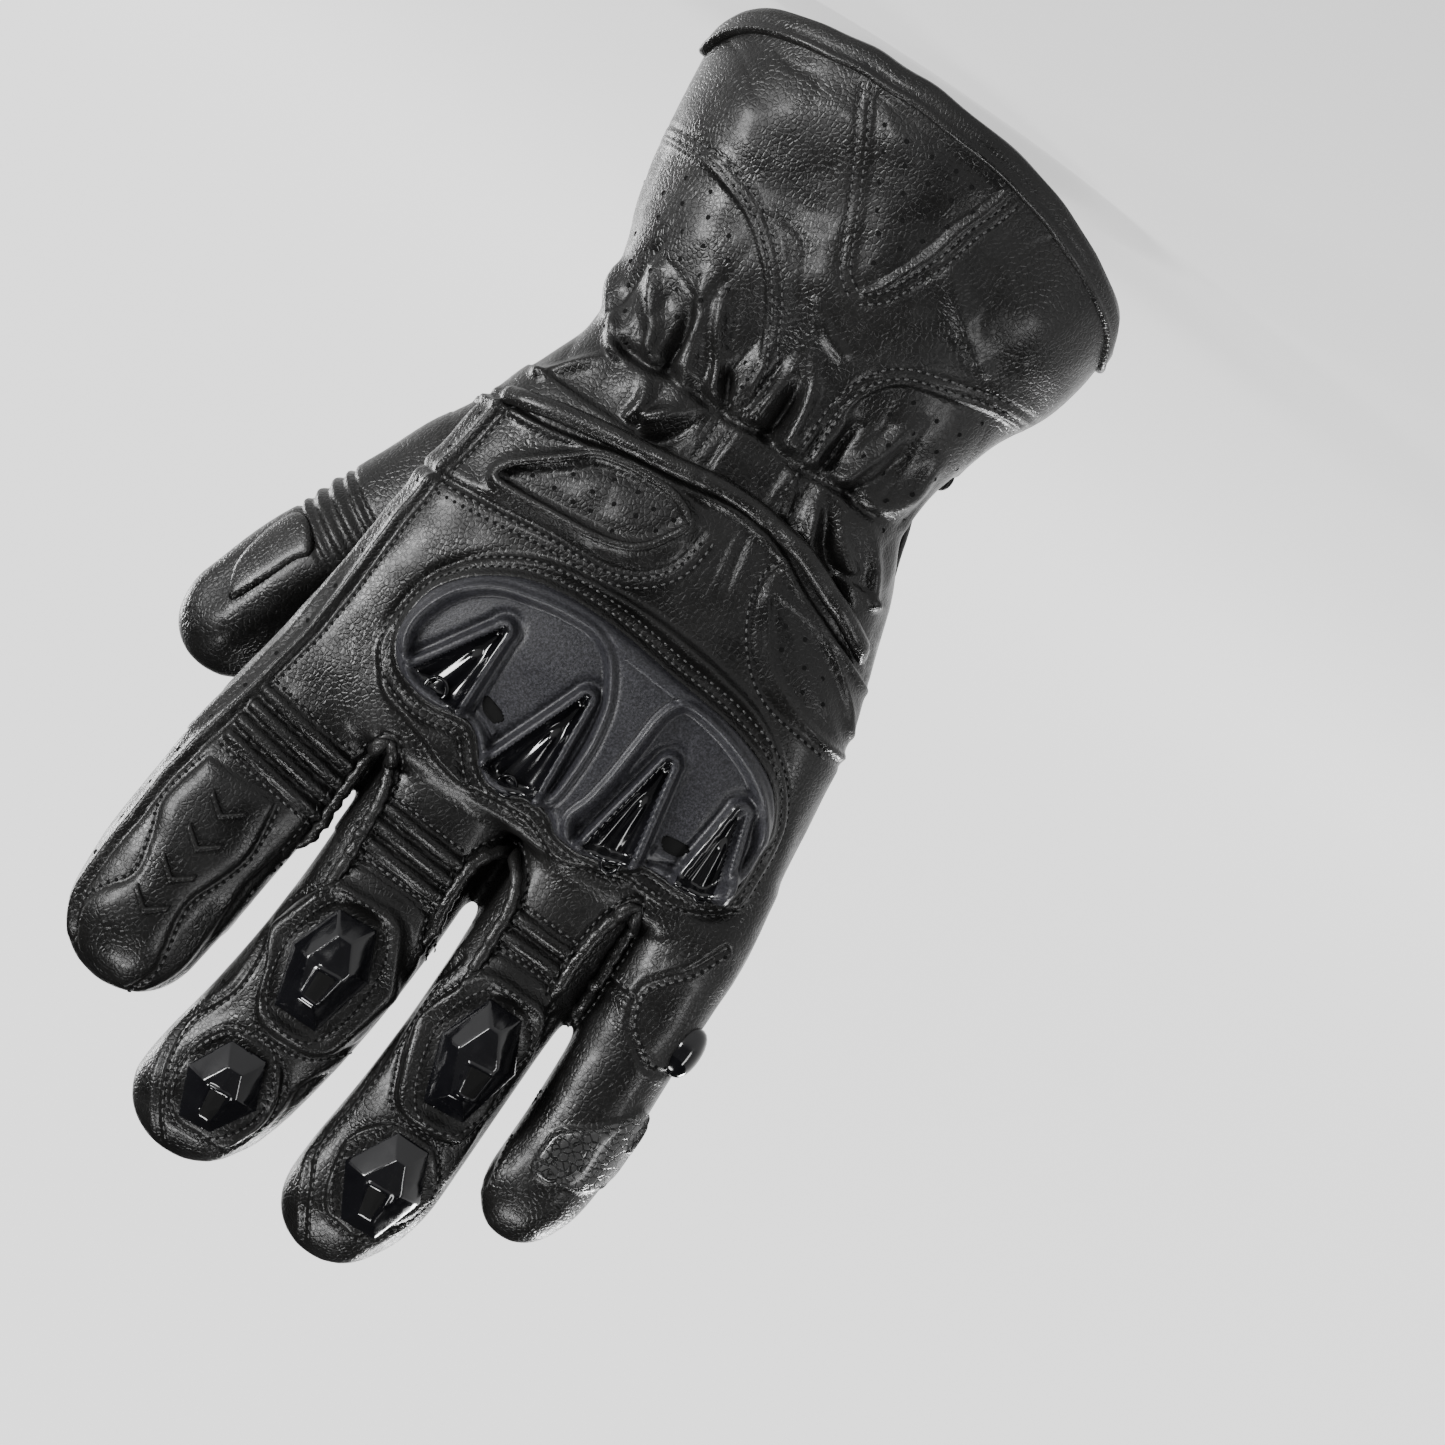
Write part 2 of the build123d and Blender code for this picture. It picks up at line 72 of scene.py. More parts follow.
# --- Sizes --------------------------------------------------------------------------------------
# The hand and cuff: height, left edge, right edge, half depth, squareness
HAND = [(-6, -54.5, 50.5, 34.5, 2.0), (10, -54.0, 49.5, 34.0, 2.0), (20, -53.5, 48.7, 33.0, 2.0),
    (30, -53.0, 47.0, 31.5, 2.0), (40, -50.5, 46.0, 29.3, 2.0), (50, -44.5, 44.0, 27.0, 2.0),
    (60, -41.5, 39.5, 24.0, 2.1), (70, -39.0, 36.0, 22.0, 2.1), (76, -38.5, 36.2, 21.5, 2.2),
    (85, -44.0, 40.0, 21.3, 2.3), (95, -47.5, 44.8, 21.5, 2.4), (105, -51.5, 47.0, 22.0, 2.4),
    (120, -55.2, 48.7, 21.8, 2.5), (130, -56.5, 49.5, 21.0, 2.5), (140, -58.0, 50.5, 20.0, 2.6),
    (150, -59.5, 52.0, 18.8, 2.6), (160, -60.5, 53.5, 17.2, 2.6), (168, -60.5, 55.0, 15.0, 2.6),
    (172, -59.5, 54.0, 12.5, 2.5)]
# Fingers: height, centre x, half width, half depth
FINGERS = {"index": [(150, 37, 14, 11), (165, 38.5, 16, 12), (180, 40, 16.5, 12.4),
    (200, 42.4, 16.4, 12.6), (215, 43.9, 16.3, 12.6), (230, 44.7, 14.9, 12.2), (242.5, 43.5, 12, 10)],
    "middle": [(150, 6, 14, 11), (165, 6.3, 15, 12.2), (180, 6.5, 15.2, 12.6), (200, 6.6, 15.2, 12.8),
    (215, 7.4, 15.3, 12.8), (230, 9.2, 15.4, 12.8), (245, 12, 15.5, 12.4), (255, 14, 14.2, 11.6),
    (263.7, 14.5, 11, 9)],
    "ring": [(150, -25, 13, 11), (165, -25.5, 14, 12.2), (180, -25.6, 14.1, 12.5),
    (200, -25.3, 13.1, 12.5), (215, -25.2, 13.1, 12.6), (230, -24.8, 13.5, 12.5),
    (245, -24, 14.3, 12.2), (255, -22.5, 13.0, 11.4), (264.7, -20.8, 10, 8.5)],
    "little": [(150, -50, 10, 9.5), (165, -51, 11.3, 11), (180, -51.3, 11.3, 11.3),
    (200, -52.7, 10.7, 11.4), (215, -53.5, 10.9, 11.4), (228, -52.9, 10.5, 10.6),
    (239.7, -51.4, 8.6, 8.5)]}
CURL_START, CURL = 184.0, 0.0006  # the fingers curve a little towards the palm
THUMB_JOINT = np.array([52.0, 25.5, 139.0])
THUMB_LINE = np.array([0.41, 0.179, 0.895]) / np.linalg.norm([0.41, 0.179, 0.895])
# Thumb: distance along it from its joint, half width, half depth
THUMB = [(-52, 9, 8), (-40, 12.5, 10), (-25, 14, 12), (-8, 13.2, 12.6), (8, 12.9, 12.6),
    (25, 12.6, 12.2), (36, 11.6, 11), (44.5, 8.5, 8)]
STRETCH = 6.5  # how far each side of its joint a digit's bend reaches; here it sets the grooves across the thumb's joint
DIGIT_SIDES = 56  # points in each ring of a digit
LINING_GAP, DIGIT_LINING_GAP = 3.6, 4.2  # from the plain body in to the lining
# The cuff's edge: x and height
RIM = [(-58, 23.5), (-53.5, 20.5), (-50, 14.5), (-40, 8.8), (-30, 5.3), (-20, 2.9), (-10, 1.6),
    (0, 0.9), (10, 0.7), (20, 1.0), (30, 1.9), (40, 3.9), (45, 6.2), (48, 9.5), (50, 15), (54, 21)]

FINE = 0.6  # size of the skin's facets


# --- Lines, distances and smooth steps ----------------------------------------------------------
def smoother(points, closed=False, step=1.0):
    """A smooth curve through points, as points about step apart."""
    p = np.array(points, float)
    if closed:
        p = np.vstack([p[-1], p, p[0], p[1]])
    else:
        p = np.vstack([2 * p[0] - p[1], p, 2 * p[-1] - p[-2]])
    out = []
    for a, b, c, d in zip(p, p[1:], p[2:], p[3:]):
        n = max(2, int(np.linalg.norm(c - b) / step))
        t = np.arange(n)[:, None] / n
        square, cube = 2 * a - 5 * b + 4 * c - d, 3 * b - a - 3 * c + d
        out.append(0.5 * (2 * b + (c - a) * t + square * t**2 + cube * t**3))
    if not closed:
        out.append(p[-2][None])
    return np.vstack(out)


def distance(q, line, closed=False):
    """Distance from each of q to a line of points, and the nearest point."""
    a = np.asarray(line, float)
    b = np.roll(a, -1, 0) if closed else a[1:]
    a = a if closed else a[:-1]
    best, near = np.full(len(q), 1e9), np.zeros((len(q), 2))
    for p0, p1 in zip(a, b):
        d = p1 - p0
        t = np.clip(((q - p0) @ d) / max(d @ d, 1e-12), 0, 1)
        n = p0 + t[:, None] * d
        r = np.hypot(*(q - n).T)
        closer = r < best
        best[closer], near[closer] = r[closer], n[closer]
    return best, near


def inside(q, outline):
    """Whether each of q lies in a closed outline."""
    a = np.asarray(outline, float)
    hit = np.zeros(len(q), bool)
    for (x0, z0), (x1, z1) in zip(a, np.roll(a, -1, 0)):
        crosses = (z0 > q[:, 1]) != (z1 > q[:, 1])
        if z1 != z0:
            hit ^= crosses & (q[:, 0] < x0 + (q[:, 1] - z0) * (x1 - x0) / (z1 - z0))
    return hit


def depth_in(q, outline):
    """Signed distance to a closed outline, positive inside it."""
    d, _ = distance(q, outline, True)
    return np.where(inside(q, outline), d, -d)


def rise(d, low, high):
    """A smooth step from 0 at low to 1 at high."""
    t = np.clip((d - low) / (high - low), 0, 1)
    return t * t * (3 - 2 * t)


def band(d, start, full, fade, end):
    """0 outside start to end, and 1 from full to fade."""
    return rise(d, start, full) * (1 - rise(d, fade, end))


def bump(d, width):
    """A rounded hump that is 1 at d = 0 and fades over about width."""
    return np.exp(-((d / width) ** 2))


def waves(p, seed, scale):
    """Smooth seeded noise of about unit height: a sum of plane waves about scale long."""
    count = 24
    rng = np.random.default_rng(seed)
    k = rng.normal(size=(count, p.shape[1]))
    length = np.linalg.norm(k, axis=1, keepdims=True)
    k *= (2 * math.pi / scale) * rng.uniform(0.6, 1.5, (count, 1)) / length
    return np.cos(p @ k.T + rng.uniform(0, 2 * math.pi, count)).sum(1) / math.sqrt(count / 2)


# --- The plain body of the glove ----------------------------------------------------------------
RIM_LINE = smoother(RIM)
SKIN_GAP, RIM_LINING_GAP = 2.0, 3.0  # how far above the rim the skin and the lining begin


def rim_height(x):
    """The height of the cuff's edge at each x."""
    return np.interp(x, RIM_LINE[:, 0], RIM_LINE[:, 1])


def table(rows, at):
    """Rows interpolated at heights, with their corners rounded."""
    step, soften, reach = 0.5, 3.0, 24
    r = np.array(rows, float)
    fine = np.arange(r[0, 0], r[-1, 0] + step, step)
    kernel = np.exp(-0.5 * (np.arange(-reach, reach + 1) * step / soften) ** 2)
    kernel /= kernel.sum()
    cols = []
    for c in range(1, r.shape[1]):
        v = np.interp(fine, r[:, 0], r[:, c])
        v = np.convolve(np.pad(v, reach, mode="edge"), kernel, mode="valid")
        cols.append(np.interp(at, fine, v))
    return np.array(cols).T


def ring_mesh(rings):
    """One closed surface through rings of points, with a fan at each end."""
    n, m = len(rings), len(rings[0])
    verts = np.vstack([*rings, rings[0].mean(0)[None], rings[-1].mean(0)[None]])
    faces = [(i * m + j, i * m + (j + 1) % m, (i + 1) * m + (j + 1) % m, (i + 1) * m + j)
             for i in range(n - 1) for j in range(m)]
    faces += [(n * m, (j + 1) % m, j) for j in range(m)]
    faces += [(n * m + 1, (n - 1) * m + j, (n - 1) * m + (j + 1) % m) for j in range(m)]
    return verts, faces


def oval(cx, cy, a, b, n, count):
    """A ring of points; n = 2 is an ellipse, and more is squarer."""
    t = np.arange(count) * 2 * math.pi / count
    c, s = np.cos(t), np.sin(t)
    return cx + a * np.sign(c) * abs(c) ** (2 / n), cy + b * np.sign(s) * abs(s) ** (2 / n)


def hand_rings(grow=0.0, low=-6.0, high=171.0, count=120):
    rings = []
    zs = np.arange(low, high + 0.1, 2.0)
    for z, (left, right, b, n) in zip(zs, table(HAND, zs)):
        centre_y = 1.0 if z < 150 else 1.0 - (z - 150) * 0.05
        x, y = oval((left + right) / 2, centre_y, (right - left) / 2 + grow, b + grow, n, count)
        rings.append(np.stack([x, y, np.full(count, z)], 1))
    return rings


TIP_STEPS = np.array([4, 2.6, 1.6, 0.9, 0.4, 0.1])  # how far below its tip a digit's last rings lie


def dome(rows, at):
    """How much a digit's section shrinks near its tip."""
    length = 12.0
    t = np.clip((at - (rows[-1][0] - length)) / length, 0, 1)
    return np.sqrt(np.maximum(1 - t * t, 0.0))


def finger_rings(name, grow=0.0, low=None):
    rows = FINGERS[name]
    top = rows[-1][0]
    zs = np.concatenate([np.arange(low or rows[0][0], top - 4, 2.0), top - TIP_STEPS])
    rings = []
    for z, (cx, a, b), share in zip(zs, table(rows, np.minimum(zs, top - 8)), dome(rows, zs)):
        curl = CURL * max(z - CURL_START, 0) ** 2
        x, y = oval(cx, curl, (a + grow) * share, (b + grow) * share, 2.25, DIGIT_SIDES)
        rings.append(np.stack([x, y, np.full(DIGIT_SIDES, z)], 1))
    return rings


def thumb_frame():
    """The directions across the thumb, and in which it folds."""
    fold = np.array([-0.6, 0.8, 0.0])
    fold -= THUMB_LINE * (fold @ THUMB_LINE)
    fold /= np.linalg.norm(fold)
    return np.cross(fold, THUMB_LINE), fold


def thumb_rings(grow=0.0):
    side, fold = thumb_frame()
    top = THUMB[-1][0]
    ss = np.concatenate([np.arange(THUMB[0][0], top - 4, 2.0), top - TIP_STEPS])
    rings = []
    for s, (a, b), share in zip(ss, table(THUMB, np.minimum(ss, top - 8)), dome(THUMB, ss)):
        x, y = oval(0, 0, (a + grow) * share, (b + grow) * share, 2.2, DIGIT_SIDES)
        rings.append(THUMB_JOINT + s * THUMB_LINE + x[:, None] * side + y[:, None] * fold)
    return rings


def joined(pieces):
    """The points and faces of several shapes, as one."""
    verts, faces, start = [], [], 0
    for v, f in pieces:
        verts.append(v)
        faces += [tuple(i + start for i in face) for face in f]
        start += len(v)
    return np.vstack(verts), faces


def new_mesh(name, verts, faces):
    mesh = bpy.data.meshes.new(name)
    mesh.from_pydata((np.asarray(verts) * MM).tolist(), [], faces)
    mesh.update()
    return mesh


def new_object(name, mesh, material=None):
    obj = bpy.data.objects.new(name, mesh)
    bpy.context.scene.collection.objects.link(obj)
    if material:
        mesh.materials.append(material)
    mesh.shade_smooth()
    return obj


def solid(name, verts, faces, material=None):
    return new_object(name, new_mesh(name, verts, faces), material)


def applied(obj):
    """The mesh of an object with its modifiers, as a new mesh."""
    bpy.context.view_layer.update()
    return bpy.data.meshes.new_from_object(obj.evaluated_get(bpy.context.evaluated_depsgraph_get()))


def plain_body():
    """The hand, fingers and thumb grown together into one smooth surface."""
    sections = [hand_rings(), *[finger_rings(f) for f in FINGERS], thumb_rings()]
    obj = solid("plain_body", *joined(map(ring_mesh, sections)))
    remesh = obj.modifiers.new("remesh", "REMESH")
    remesh.mode = "VOXEL"
    remesh.voxel_size = 2 * FINE * MM
    smooth = obj.modifiers.new("smooth", "SMOOTH")
    smooth.factor, smooth.iterations = 0.5, 9
    subdivide = obj.modifiers.new("subdivide", "SUBSURF")
    subdivide.levels = subdivide.render_levels = 1
    mesh = applied(obj)
    bpy.data.objects.remove(obj)
    return mesh


def arrays(mesh):
    """A mesh's points in millimetres, and its normals."""
    co = np.zeros(len(mesh.vertices) * 3)
    mesh.vertices.foreach_get("co", co)
    no = np.zeros(len(mesh.vertices) * 3)
    mesh.vertex_normals.foreach_get("vector", no)
    return co.reshape(-1, 3) / MM, no.reshape(-1, 3)


class Side:
    """The plain body seen from the back or the palm: its surface and normal at any (x, z)."""

    def __init__(self, tree, side):
        self.side = side
        self.xs, self.zs = np.arange(-68, 82, 1.0), np.arange(-6, 268, 1.0)
        shape = (len(self.xs), len(self.zs))
        self.y, self.n = np.full(shape, np.nan), np.zeros(shape + (3,))
        for i, x in enumerate(self.xs):
            for j, z in enumerate(self.zs):
                hit = tree.ray_cast(Vector((x * MM, side * 0.2, z * MM)), Vector((0, -side, 0)))
                if hit[0]:
                    self.y[i, j], self.n[i, j] = hit[0].y / MM, hit[1]
        seen = ~np.isnan(self.y)
        for _ in range(12):  # carry the edge outwards, so that points just past it have a place
            hole = np.isnan(self.y)
            for axis, shift in ((0, 1), (0, -1), (1, 1), (1, -1)):
                other = np.roll(self.y, shift, axis)
                take = hole & ~np.isnan(other) & np.isnan(self.y)
                self.y[take], self.n[take] = other[take], np.roll(self.n, shift, axis)[take]
        self.y[np.isnan(self.y)] = 0.0
        self.facing = np.where(seen, side * self.n[..., 1], 0.0)

    def softened(self, other, rounds, lift):
        """A smoothed sheet that lies over this side and over another, for a strap to follow."""
        y = self.y
        for times in (rounds, 4):
            y = self.side * np.maximum(self.side * y, self.side * other.y)
            for _ in range(times):
                y = (y + np.roll(y, 1, 0) + np.roll(y, -1, 0) + np.roll(y, 1, 1) + np.roll(y, -1, 1)) / 5
        sheet = copy.copy(self)
        sheet.y = y + self.side * lift
        gx, gz = np.gradient(sheet.y)
        sheet.n = np.stack([-self.side * gx, np.full(gx.shape, float(self.side)), -self.side * gz], -1)
        sheet.n /= np.linalg.norm(sheet.n, axis=2)[..., None]
        return sheet

    def seen(self, q, least=0.25):
        """Whether the surface is there and faces the viewer at each (x, z)."""
        i = np.clip(np.rint(q - [self.xs[0], self.zs[0]]).astype(int), 0, np.array(self.y.shape) - 1)
        return self.facing[i[:, 0], i[:, 1]] > least

    def at(self, q):
        """Points on the surface, and its normals, below each (x, z) of q."""
        u = np.clip(q[:, 0] - self.xs[0], 0, len(self.xs) - 1.001)
        v = np.clip(q[:, 1] - self.zs[0], 0, len(self.zs) - 1.001)
        i, j = u.astype(int), v.astype(int)
        a, b = u - i, v - j
        w = [(1 - a) * (1 - b), a * (1 - b), (1 - a) * b, a * b]
        ij = [(i, j), (i + 1, j), (i, j + 1), (i + 1, j + 1)]
        y = sum(wk * self.y[k] for wk, k in zip(w, ij))
        n = sum(wk[:, None] * self.n[k] for wk, k in zip(w, ij))
        n += np.array([0, self.side, 0]) * 0.15
        n /= np.linalg.norm(n, axis=1)[:, None]
        return np.stack([q[:, 0], y, q[:, 1]], 1), n


body_mesh = plain_body()
P, N = arrays(body_mesh)
tree = BVHTree.FromPolygons([v.co for v in body_mesh.vertices], [f.vertices for f in body_mesh.polygons])
SIDES = {BACK: Side(tree, BACK), PALM: Side(tree, PALM)}
form_verts, form_faces = ring_mesh(hand_rings())
form_tree = BVHTree.FromPolygons([Vector(v) * MM for v in form_verts], form_faces)
STRAP_BED = 3  # the smoothed sheet that the straps lie on
SIDES[STRAP_BED] = Side(form_tree, PALM).softened(SIDES[PALM], 20, 0.3)

# --- Seams and panels on the back ---------------------------------------------------------------
# The perforated wedge in the cuff, and the perforated inserts beside it
V_LEFT = smoother([(-5, 43.5), (-9.5, 40), (-12, 35), (-15, 28), (-17, 20), (-19, 15), (-20.5, 9)])
V_RIGHT = smoother([(-5, 43.5), (-1, 41), (2, 36), (5, 30), (8, 24), (11, 18), (14, 13), (16.5, 8)])
V_INSERT = np.vstack([V_LEFT, V_RIGHT[::-1]])
THUMB_INSERT_EDGE = smoother([(0, 78), (2, 70), (3, 65), (6, 60), (8.5, 55), (12, 50), (17, 45.5),
    (22, 42), (28, 39.5), (35, 38), (56, 37)])
THUMB_INSERT = np.vstack([THUMB_INSERT_EDGE, [(60, 37), (60, 90), (0, 90)]])
OUTER_INSERT_EDGE = smoother([(-56, 44), (-44.5, 45.5), (-38, 47), (-30, 49.5), (-24, 51.5),
    (-20, 54.5), (-17, 60), (-16, 66), (-16, 78)])
OUTER_INSERT = np.vstack([OUTER_INSERT_EDGE, [(-16, 90), (-60, 90), (-60, 44)]])
# The rolled band over the wrist, and the piped seam beyond it
BAND = smoother([(-58, 104.5), (-50, 101.5), (-45, 99.5), (-40, 97), (-35, 95), (-30, 93), (-25, 91),
    (-20, 90), (-15, 89.3), (-10, 89), (-5, 89.2), (0, 90), (5, 91), (10, 91.8), (20, 93.2), (30, 95),
    (35, 96.3), (42, 98), (52, 100)])
PIPE = smoother([(-56, 108), (-51, 106), (-45, 103.5), (-38, 101), (-30, 98), (-22, 94), (-15, 92.3),
    (-8, 92), (0, 93.5), (8, 94.5), (16, 96), (24, 98), (32, 99.7), (43, 100.7), (50, 101.5)])
# The perforated oval and its outer seam
OVAL = smoother([(-3, 99), (-1, 104), (2, 108), (6, 110.3), (12, 111.8), (20, 112.6), (28, 113.3),
    (33, 113.5), (34.5, 112), (33, 109), (29, 105.5), (24, 101.5), (20, 98), (14, 96.2), (8, 95.7),
    (2, 96)], True)
OVAL_SEAM = smoother([(-6, 99), (-6, 102), (-5, 107), (-1, 112), (5, 114.8), (12, 115.5), (20, 116),
    (30, 117.5), (42, 118.8), (50, 119)])
# The perforated insert on the little finger's side
SIDE_INSERT = smoother([(-62, 119.5), (-55, 119.5), (-48, 119), (-42, 117.5), (-36, 115), (-32, 112),
    (-29, 108), (-26, 104), (-24.7, 101), (-28, 100.8), (-34, 101.5), (-40, 103.5), (-45, 106.5),
    (-50, 111), (-54, 116), (-62, 118)], True)
SIDE_SEAM = smoother([(-58, 122), (-48, 121), (-36, 119), (-28, 113), (-23, 105), (-22, 99), (-23, 95)])
# The knuckle guard: the seam round it, its outline and its two sunk fields
GUARD_SEAM = smoother([(-55, 157), (-55, 150), (-54.5, 143), (-53, 137), (-49, 131), (-43, 126),
    (-36, 122), (-28, 119.8), (-18, 118.3), (-8, 117.6), (0, 118), (10, 119.2), (18, 121.5),
    (25, 125.5), (30, 130.5), (34, 137), (35.5, 143), (36, 149), (35, 154), (32, 158), (28, 161.5),
    (22, 163), (16, 164.5), (12, 166.3), (6, 167.5), (0, 167.3), (-6, 166.5), (-10, 166.2), (-14, 168),
    (-18, 169.3), (-22, 168.8), (-26, 167), (-30, 165), (-36, 164.5), (-42, 164.5), (-47, 163),
    (-51, 160.5)], True)
GUARD = smoother([(-51, 155), (-50.5, 145), (-50, 140), (-46, 133.5), (-40, 129.5), (-32, 127),
    (-24, 126), (-16, 125.3), (-8, 124.3), (0, 123.8), (8, 124), (16, 125.5), (22, 128.5), (27, 132.5),
    (31, 138), (32.5, 144), (32, 150), (29, 154.5), (25, 156.5), (20, 157.3), (15, 156.5), (11, 156),
    (8, 157.5), (5, 161), (2, 163.3), (-1, 163.8), (-4, 163.3), (-7, 162), (-10, 161.8), (-13, 162.5),
    (-16, 164.5), (-21, 165), (-24, 164.3), (-28, 163.5), (-31, 162), (-34, 160), (-38, 159.8),
    (-42, 160), (-46, 159.5), (-49, 158.5)], True, 0.7)
FIELD_LEFT = smoother([(-49, 152), (-49.5, 145), (-46, 139), (-41, 134), (-33, 130.5), (-25, 129),
    (-22, 130), (-20.5, 134), (-20, 141), (-19.5, 148), (-18.5, 155), (-17, 160), (-20, 163),
    (-27, 162), (-32, 160.5), (-38, 158.3), (-46, 158)], True)
FIELD_RIGHT = smoother([(-11, 158), (-11.5, 150), (-11, 143), (-9, 136), (-5, 130), (0, 127.3),
    (7, 127.5), (14, 129), (20, 131), (25, 135), (28, 140), (29.5, 146), (28, 151), (24, 155),
    (18, 155.5), (11, 154.6), (6, 157), (1, 162), (-5, 161.5), (-9, 160)], True)
# The guard's channels: tip, left corner, right corner
SCOOPS = [((-43, 140.5), (-49, 157.5), (-41, 158.5)), ((-26.5, 140.5), (-31.5, 161.5), (-22, 162.5)),
    ((-6, 139), (-8.5, 160.5), (3, 161.5)), ((15, 137), (14, 155), (25, 152))]
# Its vents: x, z, radius
VENTS = [(-46, 158.2, 1.3), (-28, 163, 1.5), (-2.5, 161.8, 1.6), (19.6, 154.2, 1.9)]
# Its slots: x, z, tilt
SLOTS = [(-36.5, 153.5, 0.12), (8.0, 151.5, -0.3)]
# The edge of the perforated strip down the index side
STRIP_INNER = smoother([(40, 98), (42.5, 112), (44, 125), (45, 137), (46, 150), (47, 160), (49, 170),
    (50.5, 180), (52.5, 192), (54, 200), (55, 210), (56, 220), (56, 230), (53, 238)])
FOLDS = {  # stretch panels: the heights of their ridges, and their sides
    "index": ((26, 50), [(188.8, -0.15), (185.0, -0.15), (181.3, -0.15), (178.0, -0.15)]),
    "middle": ((-4.5, 15.5), [(188.8, -0.08), (185.3, -0.08), (181.8, -0.04)]),
    "ring": ((-32.5, -18), [(187.7, -0.03), (184.0, -0.03)]),
}
# The padded leather round each hard cap
PADS = {"middle": [smoother([(-9, 214), (-7, 222), (-3, 228), (1, 230.5), (8, 231), (12, 230),
    (15, 226), (17, 220), (20, 214), (21, 210), (19, 204), (15.5, 198.5), (14, 193), (5, 192),
    (-4, 193), (-5, 196), (-8, 203), (-9, 210)], True), smoother([(5, 255.5), (10, 256), (15, 256),
    (19, 252), (20.5, 245), (19.5, 240), (16, 234.5), (10, 233.5), (4, 234.5), (1, 239), (0, 245),
    (2, 251)], True)],
    "ring": [smoother([(-33, 191.5), (-34.5, 195), (-36.5, 205), (-36.5, 218), (-35, 226), (-32, 229),
    (-27, 229.6), (-22, 229), (-19, 227), (-16, 220), (-15, 213), (-16, 206), (-18, 200), (-19, 192),
    (-26, 191)], True), smoother([(-29, 255), (-25, 255.2), (-21, 254.3), (-18, 250), (-16, 243),
    (-16.5, 238), (-20, 233), (-24, 231), (-31, 231), (-35, 236), (-36.5, 241), (-34, 249)], True)]}
CAPS = {  # the corners of each hard cap, its window, and its height
    "middle": [([(2, 224.5), (11, 224.5), (14.5, 213), (11, 202.5), (3, 202), (-1, 211)],
                (5.8, 217, 0.05), 5.0),
               ([(8, 253.3), (14.5, 254), (18.2, 245), (14, 236.5), (6.5, 236), (3.3, 245)],
                (10.3, 248.6, -0.05), 4.2)],
    "ring": [([(-32.5, 223), (-24.5, 223.7), (-20.3, 211), (-24, 200.3), (-31, 200.5), (-35.2, 210)],
              (-29.8, 215.6, -0.1), 5.0),
             ([(-31, 252.5), (-24, 252.7), (-18.8, 243), (-24, 232.8), (-30.5, 232.8), (-34.3, 242)],
              (-27, 246.8, -0.1), 4.2)],
}
TIP_PANEL_LEFT = [(34, 191.5), (33, 198), (32.5, 204), (34, 210), (37, 217), (37.5, 222), (36.5, 228),
    (36, 234), (38.5, 240)]
TIP_PANEL_RIGHT = [(50, 191.5), (52, 200), (52.5, 205), (50.5, 211), (49, 217), (49.5, 221), (53, 226),
    (54.5, 231), (53, 236), (50.5, 239.5)]
TIP_PANEL = np.vstack([smoother(TIP_PANEL_LEFT), smoother(TIP_PANEL_RIGHT)[::-1]])
# The piped edges between the fingers
CROTCHES = [smoother([(15.5, 201), (15.3, 190), (16, 180), (17.7, 173), (20, 169), (23, 169), (25, 173),
    (25.6, 180), (26, 190), (26.2, 200)]), smoother([(-18.5, 200), (-18, 190), (-17.5, 183),
    (-15.5, 177), (-12, 173.5), (-9.5, 173), (-7, 175), (-5, 180), (-5, 190), (-7, 200)]),
    smoother([(-39.6, 196), (-40, 186), (-40.2, 178), (-39.5, 172), (-37.7, 168), (-35.5, 169.5),
    (-34, 175), (-33.5, 185), (-34.2, 194)])]
TIP_SEAMS = {"middle": [smoother([(15, 262), (20, 255), (23.5, 247), (24.5, 238), (22, 232), (20, 226),
    (20.5, 218), (22.5, 212)]), smoother([(4, 261), (0, 252), (-2.5, 243), (-3, 236), (-8, 226),
    (-10, 214), (-9, 204), (-6, 196)])],
    "ring": [smoother([(-31, 262), (-35.5, 253), (-37, 245), (-37.5, 235), (-38, 222), (-38.5, 208),
    (-36.5, 196)]), smoother([(-20, 262.5), (-15, 253), (-11.5, 245), (-12.5, 234), (-13.5, 222),
    (-13, 208), (-15, 196)])],
    "index": [smoother([(35, 240), (31, 232), (29.5, 222), (29, 210), (27.5, 200), (26.5, 191)])],
    "little": [smoother([(-63, 192), (-58, 194), (-54, 192), (-50, 189), (-48, 184), (-48, 180),
    (-51, 176), (-54, 172), (-57, 165)]), smoother([(-48, 184), (-44, 184), (-40, 183)]),
    smoother([(-44.5, 232), (-42, 222), (-41.3, 210), (-41, 196)])]}
CRACKED = smoother([(-64.5, 217), (-62, 221.5), (-58, 223), (-53, 224.5), (-50, 223.5), (-49.3, 219),
    (-50, 214), (-55, 210), (-59.5, 205), (-62, 201), (-64.5, 204)], True)
THUMB_PATCH = smoother([(67, 164.5), (70, 160), (70.7, 155), (69, 147), (66, 141.5), (62, 142),
    (58, 147), (60, 150), (63, 157)], True)

